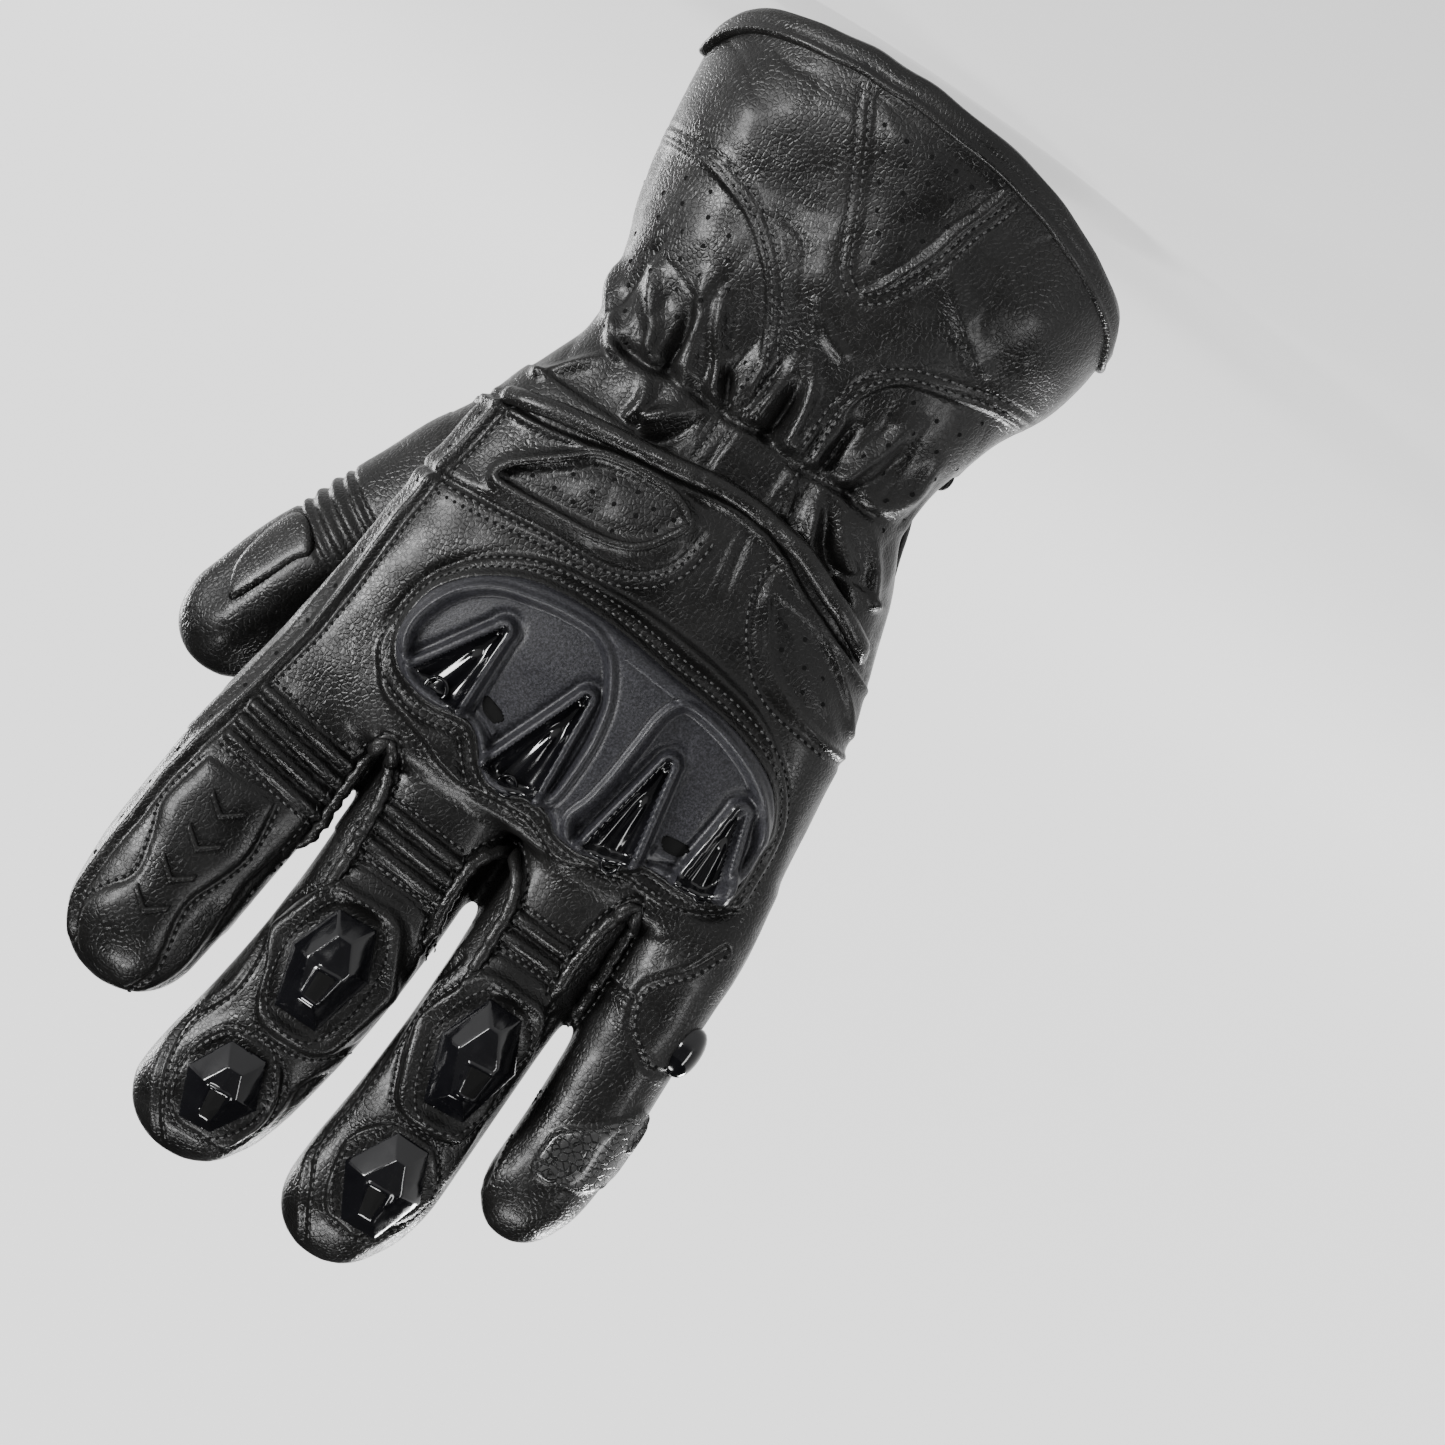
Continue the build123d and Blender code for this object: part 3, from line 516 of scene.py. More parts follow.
# --- Seams and panels on the palm ---------------------------------------------------------------
GRIP = smoother([(48.5, 167), (43.5, 156), (38.5, 145), (34.5, 135), (31, 127), (27.5, 123.5),
    (25.5, 128), (30, 133), (35, 135), (30, 137), (20, 136), (12, 133), (0, 134), (-8, 131), (-15, 129),
    (-20, 132), (-25, 138), (-28, 145), (-28, 152), (-26, 160), (-29, 168), (-31, 178), (-28.5, 185),
    (-23, 185), (-19, 178), (-14, 167), (-9, 164), (-4, 168), (-1, 179), (3, 189), (9, 189.5),
    (12, 181), (15, 170), (20, 165), (26, 168), (31, 180), (36, 191), (43, 191.5), (48, 183), (49, 170),
    (52, 162)], True)
CUFF_STRAP = smoother([(47.5, 14.5), (40, 13.5), (20, 10.8), (8, 8.8), (1, 9.2), (-3, 14), (-3.2, 22),
    (-1, 30), (3, 37.5), (10, 41.8), (20, 44), (30, 46), (42.8, 49)])
WRIST_STRAP = smoother([(-50.7, 108), (-30, 110.3), (0, 111), (12, 111.5), (20, 110), (29, 103),
    (34, 96), (35.5, 91), (32, 83), (26, 75.5), (20, 71.5), (0, 70), (-37.9, 70.5)])
HEEL_PADS = [smoother([(24, 106), (28.5, 97), (22, 89), (14.5, 83), (9, 94), (7, 102), (15, 105)],
    True), smoother([(-3, 100.5), (-12, 100), (-25, 96), (-37, 93), (-39.5, 88), (-38, 84), (-25, 82),
    (-10, 79), (3, 77), (8, 80), (6, 88), (1, 96)], True)]
PALM_SEAMS = [smoother([(31, 60), (34, 70), (41, 82), (47, 92), (52, 103), (58, 115)]),
    smoother([(-48, 118), (-40, 124), (-34, 136), (-33, 150), (-36, 162), (-38.5, 176)]),
    smoother([(-46, 62), (-38, 60), (-20, 58), (0, 57), (20, 58), (38, 62)])]

# --- Relief: how far the leather stands above the plain body ------------------------------------
def near(q, line, reach):
    """Which of q lie in a line's box, grown by reach."""
    low, high = line.min(0) - reach, line.max(0) + reach
    return np.flatnonzero(((q >= low) & (q <= high)).all(1))


def groove(h, q, line, depth=0.7, width=0.7, closed=False):
    """A line pressed into the relief h."""
    i = near(q, line, 4 * width)
    d, _ = distance(q[i], line, closed)
    h[i] -= depth * bump(d, width)


def ridge(h, q, line, height=0.8, width=0.9, closed=False):
    groove(h, q, line, -height, width, closed)


def panel(h, q, outline, height, edge=0.6, puff=0.0, reach=6.0):
    """A panel stepped up or down by height at its outline, and puffed up further in by puff."""
    i = near(q, outline, edge + 1)
    d = depth_in(q[i], outline)
    h[i] += height * rise(d, -edge, edge) + puff * rise(d, 0, reach)


def hem(h, q, outline, height, width):
    """The leather beside an outline's outer edge, rising to it."""
    i = near(q, outline, width + 1)
    d = -depth_in(q[i], outline)
    h[i] += height * np.exp(-((np.maximum(d, 0) / width) ** 2)) * rise(d, -0.5, 0.4)


def pleats(q, low, peak, high, pitch, height, seed, drift=0.0):
    """Gathers: rounded folds with sharp valleys that fade above and below."""
    x, z = q.T
    fade = band(z, low, peak, peak, high)
    warp = 1.6 * waves(q * [1.0, 0.35], seed, 30.0) + drift * (z - peak) * x / 40
    fold = np.abs(np.sin(math.pi * (x + warp) / pitch))
    size = 0.75 + 0.35 * waves(q * [1.0, 0.2], seed + 1, 18.0)
    return height * size * fade * (fold**0.7 - 0.5)


def creases(q, seed, scale, height):
    """Soft leather rumples with a few sharper lines in them."""
    w = waves(q, seed, scale)
    lines = bump(w, 0.16) * rise(waves(q, seed + 3, scale * 2.2), 0.1, 1.0)
    return height * (0.5 * waves(q, seed + 7, scale * 1.7) - lines)


def offset(line, distance_out, closed=False):
    """The line moved sideways, to the right of its direction."""
    t = (np.roll(line, -1, 0) - np.roll(line, 1, 0)) if closed else np.gradient(line, axis=0)
    t /= np.linalg.norm(t, axis=1)[:, None] + 1e-9
    return line + np.stack([t[:, 1], -t[:, 0]], 1) * distance_out


def fold_line(h, q, line, height, width, start, end):
    """A fold that grows from height z = start to its crest and stops short at z = end."""
    line = smoother(line)
    i = near(q, line, 3 * width)
    d, _ = distance(q[i], line)
    z = q[i, 1]
    fade = rise(z, start, start + 0.6 * abs(end - start)) * (1 - rise(z, end - 1.5, end + 0.5))
    h[i] += height * fade * bump(d, width)


WRIST_FOLDS = [  # height, width, where it grows from and ends, and its line
    (1.9, 1.7, 55, 76, [(-37, 60), (-35.5, 68), (-31.5, 76)]),
    (2.6, 1.5, 52, 76, [(-29, 56), (-26.5, 63), (-23.5, 72), (-21.5, 77)]),
    (1.8, 1.3, 56, 76, [(-17, 58), (-16.8, 66), (-16.5, 76)]),
    (1.6, 1.2, 62, 76, [(-12.5, 62), (-12.8, 70), (-12, 77)]),
    (2.8, 1.7, 54, 77, [(-5, 56), (-8, 63), (-9.5, 69), (-10, 78)]),
    (1.9, 1.5, 60, 76, [(-3, 60), (-2.2, 68), (-1.2, 76)]),
    (1.5, 1.2, 62, 75, [(3.4, 62), (3.2, 68), (3.0, 75)]),
    (2.7, 1.5, 52, 76, [(17, 57), (12.5, 65), (9, 70), (6.8, 77)]),
    (2.9, 1.8, 52, 77, [(21, 56), (17, 66), (15.5, 72), (13.8, 78)]),
    (2.2, 1.7, 54, 77, [(31, 60), (26, 68), (22, 76)]),
    (2.0, 1.6, 56, 80, [(38, 64), (34.5, 70), (31, 76), (28, 80)]),
    (-1.6, 1.1, 58, 76, [(-20.5, 60), (-19.4, 68), (-19, 76)]),
    (-2.0, 1.3, 60, 77, [(-5.5, 62), (-6.2, 70), (-5.5, 77)]),
    (-2.0, 1.2, 56, 77, [(14, 58), (10.5, 67), (4.8, 74), (3.8, 78)]),
    (-1.8, 1.2, 58, 77, [(20.5, 62), (19.5, 69), (18.5, 77)]),
    (-1.5, 1.2, 58, 77, [(-31, 58), (-29.5, 68), (-26, 77)]),
    (-2.6, 1.6, 76, 95, [(-22.5, 77), (-25.5, 82), (-29, 87), (-34, 92), (-39, 96)]),
    (1.8, 1.3, 77, 90, [(-21, 77), (-22.6, 83), (-25, 89)]),
    (1.7, 1.2, 78, 93, [(-32.5, 77), (-38, 84), (-43, 91)]),
    (1.6, 1.3, 77, 90, [(-27, 78), (-29, 84), (-35, 88)]),
    (1.2, 1.0, 77, 88, [(-15.5, 78), (-17, 83), (-19, 88)]),
    (-2.4, 1.7, 77, 92, [(7.5, 76), (8.3, 82), (10.5, 88), (15, 92)]),
    (1.9, 1.5, 77, 89, [(10, 77), (12, 82), (16, 86)]),
    (1.6, 1.3, 77, 90, [(21, 78), (18.5, 83), (19, 88)]),
    (1.8, 1.2, 78, 93, [(29, 79), (34, 85), (39, 91)]),
    (0.9, 1.6, 44, 56, [(-9, 54), (-4, 52), (0.5, 48.5)]),
    (0.7, 2.2, 22, 42, [(-34, 41), (-29, 38), (-22, 33), (-17, 28)]),
]
WRIST_ROWS = (-19.0, -15.4, 0.2, 3.6)  # where the rows of stitches cross the wrist
CHEVRONS = [(41.5, 198.0), (41.8, 206.0), (42.6, 214.0), (43.6, 222.0)]


def back_relief(q):
    x, z = q.T
    h = 0.4 * waves(q, 3, 42.0) + creases(q, 11, 26.0, 0.2) * (1 - rise(z, 96, 106))
    h += 0.05 * waves(q, 12, 11.0)
    low = band(z, 10, 20, 58, 70)
    h += low * (0.42 * waves(q, 21, 34.0) + 0.06 * waves(q, 22, 14.0))
    h += pleats(q, 42, 74, 78, 8.5, 1.3, 31) + pleats(q, 62, 74, 77, 3.3, 0.8, 35)
    h += pleats(q, 75, 80, 93, 9.5, 1.2, 33)
    for height, width, start, end, line in WRIST_FOLDS:
        fold_line(h, q, line, height, width, start, end)
    h -= 1.8 * bump(z - 76.5 - 0.6 * np.sin(x / 3.1), 1.3) * band(x, -36, -26, 26, 34)
    h -= 1.6 * band(z, 76, 80, 88, 91) * band(x, -27, -18, 6, 12)
    h += 1.1 * bump(x + 17, 6) * pleats(q, 90, 99, 112, 2.4, 1.2, 36)
    h += 1.2 * bump(x - 26, 15) * bump(z - 27, 12) + 0.9 * bump(x + 34, 13) * bump(z - 28, 12)
    sunk = np.vstack([V_LEFT + [3.3, 0.8], V_RIGHT[::-1] - [1.8, 0.5]])
    panel(h, q, sunk, -0.5, 0.4, 0.5, 5)
    ridge(h, q, V_LEFT + [1.9, 0.6], 0.4, 0.8)
    for outline in (THUMB_INSERT, OUTER_INSERT):
        panel(h, q, outline, -0.55, 0.45, 0.9, 10)
        hem(h, q, outline, 0.55, 3.4)
    for edge, out in ((V_LEFT, 1.5), (V_LEFT, -0.5), (V_RIGHT, 1.0), (V_RIGHT, -1.0),
                      (THUMB_INSERT_EDGE, 1.3), (THUMB_INSERT_EDGE, 3.2),
                      (OUTER_INSERT_EDGE, 1.3), (OUTER_INSERT_EDGE, 3.2)):
        groove(h, q, offset(edge, out), 0.35, 0.55)
    for row in WRIST_ROWS:
        h -= 0.4 * bump(x - row - 0.02 * (z - 75), 0.5) * band(z, 62, 66, 87, 89)
    panel(h, q, OVAL, -1.0, 0.5, 0.5, 5)
    ridge(h, q, OVAL, 1.5, 1.3, True)
    hem(h, q, OVAL, 0.6, 2.5)
    groove(h, q, OVAL_SEAM, 0.6, 0.7)
    hem_line(h, q, OVAL_SEAM, 0.5, 3.8)
    panel(h, q, SIDE_INSERT, -0.9, 0.5, 0.7, 6)
    ridge(h, q, SIDE_INSERT, 0.7, 0.9, True)
    groove(h, q, SIDE_SEAM, 0.6, 0.7)
    ridge(h, q, PIPE, 1.0, 0.8)
    groove(h, q, PIPE - [0, 1.4], 0.5, 0.5)
    panel(h, q, GUARD_SEAM, 1.6, 1.1, 0.9, 3)
    groove(h, q, GUARD_SEAM, 0.5, 0.6, True)
    i = near(q, GUARD, 8)
    d = -depth_in(q[i], GUARD)
    h[i] += -1.2 * bump(d - 2.6, 1.5) + 1.0 * rise(d, 1.2, -0.2)
    i = near(q, GUARD_SEAM, 3)
    d = depth_in(q[i], GUARD_SEAM)
    h[i] += 1.0 * bump(d - 1.3, 1.0)
    for out in (1.6, 3.6):
        groove(h, q, offset(GUARD, out, True), 0.3, 0.55, True)
    i = near(q, GUARD, 1)
    d = depth_in(q[i], GUARD)
    h[i] += (-1.2 - h[i]) * rise(d, 0.4, 1.6)
    groove(h, q, STRIP_INNER, 0.7, 0.6)
    ridge(h, q, STRIP_INNER + [1.3, 0], 1.1, 0.8)
    ridge(h, q, STRIP_INNER + [4.6, 0], 0.5, 0.7)
    for name, ((left, right), ridges) in FOLDS.items():
        slope = ridges[0][1]
        zz = z - slope * (x - left)
        low, high = ridges[-1][0] - 2.4, ridges[0][0] + 2.4
        span = (high - low) / len(ridges)
        fold = np.abs(np.sin(math.pi * (zz - low) / span)) ** 0.6
        across = band(x, left - 0.6, left + 0.8, right - 0.8, right + 0.6)
        along = band(zz, low - 0.5, low + 0.5, high - 0.5, high + 0.5)
        h += across * along * (2.6 * fold - 1.5)
    for name, pads in PADS.items():
        for pad, (cap, _, _) in zip(pads, CAPS[name]):
            hole = np.array(cap, float)
            i = near(q, pad, 2)
            d, e = depth_in(q[i], pad), -depth_in(q[i], hole)
            h[i] += rise(d, -0.7, 0.8) * (0.5 + 2.1 * bump(e - 4.2, 1.7)) - 0.7 * bump(d, 0.7)
    panel(h, q, TIP_PANEL, 0.7, 0.6, 0.5, 4)
    groove(h, q, TIP_PANEL, 0.5, 0.5, True)
    for line in CROTCHES:
        ridge(h, q, line, 1.2, 0.8)
        groove(h, q, line - [0, 1.7], 0.5, 0.6)
    for lines in TIP_SEAMS.values():
        for line in lines:
            groove(h, q, line, 0.6, 0.6)
            hem_line(h, q, line, 0.35, 2.5)
    panel(h, q, CRACKED, 0.7, 0.5, 0.3, 3)
    return h


def hem_line(h, q, line, height, width):
    """Leather raised along both sides of a seam."""
    i = near(q, line, 2 * width)
    d, _ = distance(q[i], line)
    h[i] += height * np.exp(-(((d - width * 0.5) / (width * 0.5)) ** 2))


def palm_relief(q):
    x, z = q.T
    h = 0.4 * waves(q, 51, 40.0) + creases(q, 53, 24.0, 0.4)
    h += creases(q, 57, 28.0, 1.0) * (1 - rise(z, 60, 74)) * rise(z, 12, 22)
    h += pleats(q, 28, 60, 72, 6.6, 2.8, 61, 0.6) * (1 - 0.5 * rise(x, 5, 30))
    h += 1.6 * bump(x - 22, 14) * bump(z - 120, 18) + 1.2 * bump(x + 34, 10) * bump(z - 125, 22)
    for line in PALM_SEAMS:
        groove(h, q, line, 0.7, 0.7)
        hem_line(h, q, line, 0.4, 2.8)
    for name, rows in FINGERS.items():
        r = np.array(rows)
        top = r[-1, 0]
        cx, half = np.interp(z, r[:, 0], r[:, 1]), np.interp(z, r[:, 0], r[:, 2])
        on = rise(z, 172, 178) * (np.abs(x - cx) < half + 3)
        edge = np.abs(x - cx) - half * 0.62
        h -= on * 0.7 * bump(edge, 0.7) * (1 - rise(z, top - 9, top - 6))
        for share, deep in ((0.0, 1.3), (0.36, 1.0), (0.68, 0.8)):
            zc = 183 + share * (top - 183) + 1.5 * np.sin(x / 5)
            h -= on * deep * bump(z - zc, 1.6) * (np.abs(x - cx) < half)
            h += on * 0.6 * bump(z - zc - 9, 6.0) * (np.abs(x - cx) < half * 0.7)
    return h


def thumb_relief(q, v):
    """Long folds down the thumb, and the seams across its joint."""
    along = (v - THUMB_JOINT) @ THUMB_LINE
    round_ = np.arctan2(*((v - THUMB_JOINT) @ np.array(thumb_frame()).T).T)
    h = 0.3 * waves(v, 71, 30.0)
    long_folds = band(along, -2, 12, 30, 42)
    h += 0.6 * np.cos(round_ * 5 + 0.5 * np.sin(along / 9)) * long_folds
    h += 0.5 * np.cos((along + 2.0) * math.pi / 1.9) * band(along, -6.5, -4.5, 4.5, 6.5)
    for s in (-STRETCH, STRETCH):
        h -= 0.8 * bump(along - s, 0.7)
    return h


JOINTS = {j["child"]: j for j in frame["joints"]}
WRIST_HEIGHT = 92.0


def digit_along(name, v):
    """How far points lie past a digit's joint, along it."""
    if name == "thumb":
        return (v - THUMB_JOINT) @ THUMB_LINE
    joint = JOINTS[name + "_finger"]
    axis = np.array(joint["axis"])
    line = np.cross(axis, [0, -1, 0])
    line *= np.sign(line[2])
    return (v - np.array(joint["pos_m"]) / MM) @ line


def thumb_region(v):
    """Which points belong to the thumb: those round its line and past its joint."""
    d = v - THUMB_JOINT
    along = d @ THUMB_LINE
    away = np.linalg.norm(d - along[:, None] * THUMB_LINE, axis=1)
    return (away < 17) & (along > -8) & (v[:, 1] > 8.5)


def owners(v):
    """Which piece each point of the skin belongs to: a digit past its joint, the hand or the cuff."""
    owner = np.where(v[:, 2] > WRIST_HEIGHT, "hand", "cuff").astype("<U8")
    splits = [(-84, -40.0), (-40.0, -9.2), (-9.2, 23.5), (23.5, 90)]
    for name, (left, right) in zip(("little", "ring", "middle", "index"), splits):
        lean = np.interp(v[:, 2], [170, 250], [0, 6 if name in ("middle", "ring") else 0])
        here = (v[:, 0] > left + lean * (name == "middle")) & (v[:, 0] <= right + lean * (name == "ring"))
        owner[here & (digit_along(name, v) > -7.5) & (v[:, 2] > 165)] = name
    owner[thumb_region(v)] = "thumb"
    return owner


class Map:
    """A relief worked out once on a fine grid, and read between its points."""

    def __init__(self, relief):
        step = 0.4
        self.low, self.step = np.array([-68.0, -6.0]), step
        self.shape = (int(150 / step), int(274 / step))
        lines = [low + step * np.arange(n) for low, n in zip(self.low, self.shape)]
        q = np.stack(np.meshgrid(*lines, indexing="ij"), -1)
        self.h = relief(q.reshape(-1, 2)).reshape(self.shape)

    def __call__(self, q):
        u, v = (np.clip((q[:, i] - self.low[i]) / self.step, 0, self.shape[i] - 1.001) for i in (0, 1))
        i, j = u.astype(int), v.astype(int)
        a, b = u - i, v - j
        return ((1 - a) * (1 - b) * self.h[i, j] + a * (1 - b) * self.h[i + 1, j]
                + (1 - a) * b * self.h[i, j + 1] + a * b * self.h[i + 1, j + 1])


RELIEF = {BACK: Map(back_relief), PALM: Map(palm_relief)}
OWNER = owners(P)
q = P[:, [0, 2]]
turned = np.where(P[:, 2] > 190, 0.2, 0.0)  # between the fingers the relief stays on their faces
facing = rise(-N[:, 1] - turned, -0.15, 0.35)
palm_facing = rise(N[:, 1] - turned, -0.15, 0.35)
relief = facing * RELIEF[BACK](q) + palm_facing * RELIEF[PALM](q)
from_thumb = np.linalg.norm(np.cross(P - THUMB_JOINT, THUMB_LINE), axis=1)
is_thumb = (P[:, 1] > 9) & (P[:, 0] > 34) & (OWNER == "hand") & (from_thumb < 15.5)
is_thumb = (OWNER == "thumb") | is_thumb & ((P - THUMB_JOINT) @ THUMB_LINE > -30)
relief[is_thumb] = thumb_relief(q[is_thumb], P[is_thumb])
SKIN = P + N * relief[:, None]

# --- Materials ----------------------------------------------------------------------------------


class Shader:
    """A node material, built from the socket names that it sets."""

    def __init__(self, name, **sockets):
        self.material = bpy.data.materials.new(name)
        self.material.use_nodes = True
        self.tree = self.material.node_tree
        self.bsdf = self.tree.nodes["Principled BSDF"]
        for key, value in sockets.items():
            self.bsdf.inputs[key.replace("_", " ")].default_value = value
        self.place = self.node("ShaderNodeTexCoord").outputs["Object"]
        self.normal = None

    def node(self, kind, **settings):
        n = self.tree.nodes.new(kind)
        for key, value in settings.items():
            setattr(n, key, value)
        return n

    def noise(self, size, detail=4.0, rough=0.55):
        """Noise whose lumps are about size millimetres across."""
        n = self.node("ShaderNodeTexNoise")
        n.inputs["Scale"].default_value = 1 / (size * MM)
        n.inputs["Detail"].default_value = detail
        n.inputs["Roughness"].default_value = rough
        n.inputs["Distortion"].default_value = 0.0
        self.tree.links.new(self.place, n.inputs["Vector"])
        return n.outputs["Fac"]

    def cells(self, size):
        """Distance to the edges of cells about size millimetres across."""
        n = self.node("ShaderNodeTexVoronoi", feature="DISTANCE_TO_EDGE")
        n.inputs["Scale"].default_value = 1 / (size * MM)
        self.tree.links.new(self.place, n.inputs["Vector"])
        return n.outputs["Distance"]

    def weave(self, size, direction="X"):
        n = self.node("ShaderNodeTexWave", bands_direction=direction)
        n.inputs["Scale"].default_value = 1 / (size * MM) / 3.2
        n.inputs["Distortion"].default_value = 1.5
        self.tree.links.new(self.place, n.inputs["Vector"])
        return n.outputs["Fac"]

    def ramp(self, source, low, high, start=0.3, end=0.7):
        n = self.node("ShaderNodeMapRange", interpolation_type="SMOOTHSTEP")
        for key, value in (("From Min", start), ("From Max", end), ("To Min", low), ("To Max", high)):
            n.inputs[key].default_value = value
        self.tree.links.new(source, n.inputs["Value"])
        return n.outputs["Result"]

    def colour(self, source, dark, light, start=0.3, end=0.7):
        n = self.node("ShaderNodeValToRGB")
        n.color_ramp.elements[0].position, n.color_ramp.elements[1].position = start, end
        n.color_ramp.elements[0].color, n.color_ramp.elements[1].color = (*dark, 1), (*light, 1)
        self.tree.links.new(source, n.inputs["Fac"])
        self.tree.links.new(n.outputs["Color"], self.bsdf.inputs["Base Color"])

    def roughness(self, source, low, high, start=0.3, end=0.7):
        self.tree.links.new(self.ramp(source, low, high, start, end), self.bsdf.inputs["Roughness"])

    def bump(self, height, depth, strength=1.0):
        """Adds height, where 1 stands depth millimetres proud."""
        n = self.node("ShaderNodeBump")
        n.inputs["Strength"].default_value = strength
        n.inputs["Distance"].default_value = depth * MM
        self.tree.links.new(height, n.inputs["Height"])
        if self.normal:
            self.tree.links.new(self.normal, n.inputs["Normal"])
        self.normal = n.outputs["Normal"]
        self.tree.links.new(self.normal, self.bsdf.inputs["Normal"])


def leather(name, tone=0.0028, shine=0.27, grain=1.1, coat=0.05):
    s = Shader(name, Coat_Weight=coat, Coat_Roughness=0.18, Specular_IOR_Level=0.16)
    s.colour(s.noise(22, 5), (tone * 0.6,) * 3, (tone * 1.5, tone * 1.45, tone * 1.4))
    s.roughness(s.noise(9, 6), shine, shine + 0.2)
    s.bump(s.noise(3.2, 5, 0.6), 0.28, 0.5)
    s.bump(s.ramp(s.cells(grain), 0, 1, 0.0, 0.22), 0.10, 0.55)
    s.bump(s.noise(0.35, 2), 0.05, 0.35)
    return s.material


LEATHER = leather("black_leather")
SMOOTH_LEATHER = leather("smooth_leather", 0.0035, 0.24, 0.9, 0.08)
STRAP_LEATHER = leather("strap_leather", 0.004, 0.3, 1.2, 0.04)


def cracked_leather():
    s = Shader("cracked_leather", Coat_Weight=0.25, Coat_Roughness=0.15, Specular_IOR_Level=0.3)
    cracks = s.ramp(s.cells(1.6), 0, 1, 0.0, 0.14)
    s.colour(cracks, (0.0005, 0.0005, 0.0005), (0.014, 0.014, 0.014), 0.1, 0.9)
    s.roughness(s.noise(4, 5), 0.22, 0.38)
    s.bump(cracks, 0.6, 1.0)
    s.bump(s.noise(1.2, 5), 0.25, 0.6)
    return s.material


def guard_plastic():
    s = Shader("guard_plastic", Specular_IOR_Level=0.2)
    s.colour(s.noise(0.45, 3, 0.8), (0.005, 0.005, 0.006), (0.026, 0.026, 0.03), 0.42, 0.7)
    s.roughness(s.noise(7, 4), 0.33, 0.43)
    s.bump(s.noise(0.5, 3, 0.7), 0.12, 0.85)
    return s.material


def gloss_plastic():
    s = Shader("gloss_plastic", Coat_Weight=0.15, Coat_Roughness=0.05, Specular_IOR_Level=0.26)
    s.colour(s.noise(12, 3), (0.0015, 0.0015, 0.002), (0.003, 0.003, 0.0035))
    s.roughness(s.noise(2.5, 6), 0.07, 0.17)
    s.bump(s.noise(6, 3), 0.05, 0.25)
    return s.material


def thread():
    s = Shader("thread", Sheen_Weight=0.1, Specular_IOR_Level=0.25)
    s.colour(s.noise(3, 3), (0.018, 0.018, 0.018), (0.036, 0.036, 0.036))
    s.roughness(s.noise(1, 3), 0.34, 0.5)
    s.bump(s.weave(0.35, "DIAGONAL"), 0.08, 0.8)
    return s.material


def fabric(name, size, tone, sheen=0.4, depth=0.15):
    s = Shader(name, Sheen_Weight=sheen * 0.4, Sheen_Roughness=0.4, Specular_IOR_Level=0.12)
    s.colour(s.noise(5, 4), (tone * 0.3,) * 3, (tone * 0.7,) * 3)
    s.roughness(s.noise(4, 3), 0.75, 0.95)
    s.bump(s.weave(size, "X"), depth, 0.7)
    s.bump(s.weave(size, "Z"), depth, 0.7)
    return s.material


def rubber():
    s = Shader("grip_rubber", Specular_IOR_Level=0.25)
    s.colour(s.noise(8, 4), (0.005, 0.005, 0.005), (0.01, 0.01, 0.01))
    s.roughness(s.noise(3, 4), 0.36, 0.5)
    s.bump(s.noise(0.6, 3), 0.05, 0.4)
    return s.material


# Near-black colour for holes, slots and windows: painted shade standing in for their depth.
def hole_shade():
    s = Shader("punched_hole_shade", Specular_IOR_Level=0.1)
    s.colour(s.noise(2, 2), (0.0008, 0.0008, 0.0008), (0.002, 0.002, 0.002))
    s.roughness(s.noise(2, 2), 0.85, 0.95)
    return s.material


CRACKED_LEATHER, GUARD_PLASTIC = cracked_leather(), guard_plastic()
GLOSS, THREAD = gloss_plastic(), thread()
LINING = fabric("lining_knit", 1.1, 0.02)
HOOK, LOOP = fabric("hook_tape", 0.8, 0.012, 0.1, 0.4), fabric("loop_tape", 0.6, 0.016, 0.7, 0.3)
RUBBER, HOLE_SHADE = rubber(), hole_shade()

# --- Pieces -------------------------------------------------------------------------------------
BODY_OF = {"hand": "hand", "cuff": "hand", "thumb": "thumb", "cuff_strap": "cuff_strap",
           "wrist_strap": "wrist_strap",
           **{f: f + "_finger" for f in FINGERS}}


def place(obj, owner, slot, *nodes):
    """A piece rides the hand or a strap; a digit's piece only has its transform baked into its mesh."""
    if owner in FINGERS or owner == "thumb":
        joint = next(j for j in frame["joints"] if j["child"] == BODY_OF[owner])
        line = Vector(THUMB_LINE) if owner == "thumb" else Vector(joint["axis"]).cross(Vector((0, -1, 0)))
        line *= STRETCH * MM * (1 if line.z > 0 else -1)
        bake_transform(obj)
    else:
        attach(obj, BODY_OF[owner])
    if nodes:
        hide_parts(*nodes)
    return obj


def surface(side, q, lift=0.0, relief=True):
    """Points lift above the leather, and the directions out of it."""
    base, normal = SIDES[side].at(q)
    h = (RELIEF[side](q) if relief and side in RELIEF else 0.0) + lift + np.zeros(len(q))
    return base + normal * h[:, None], normal


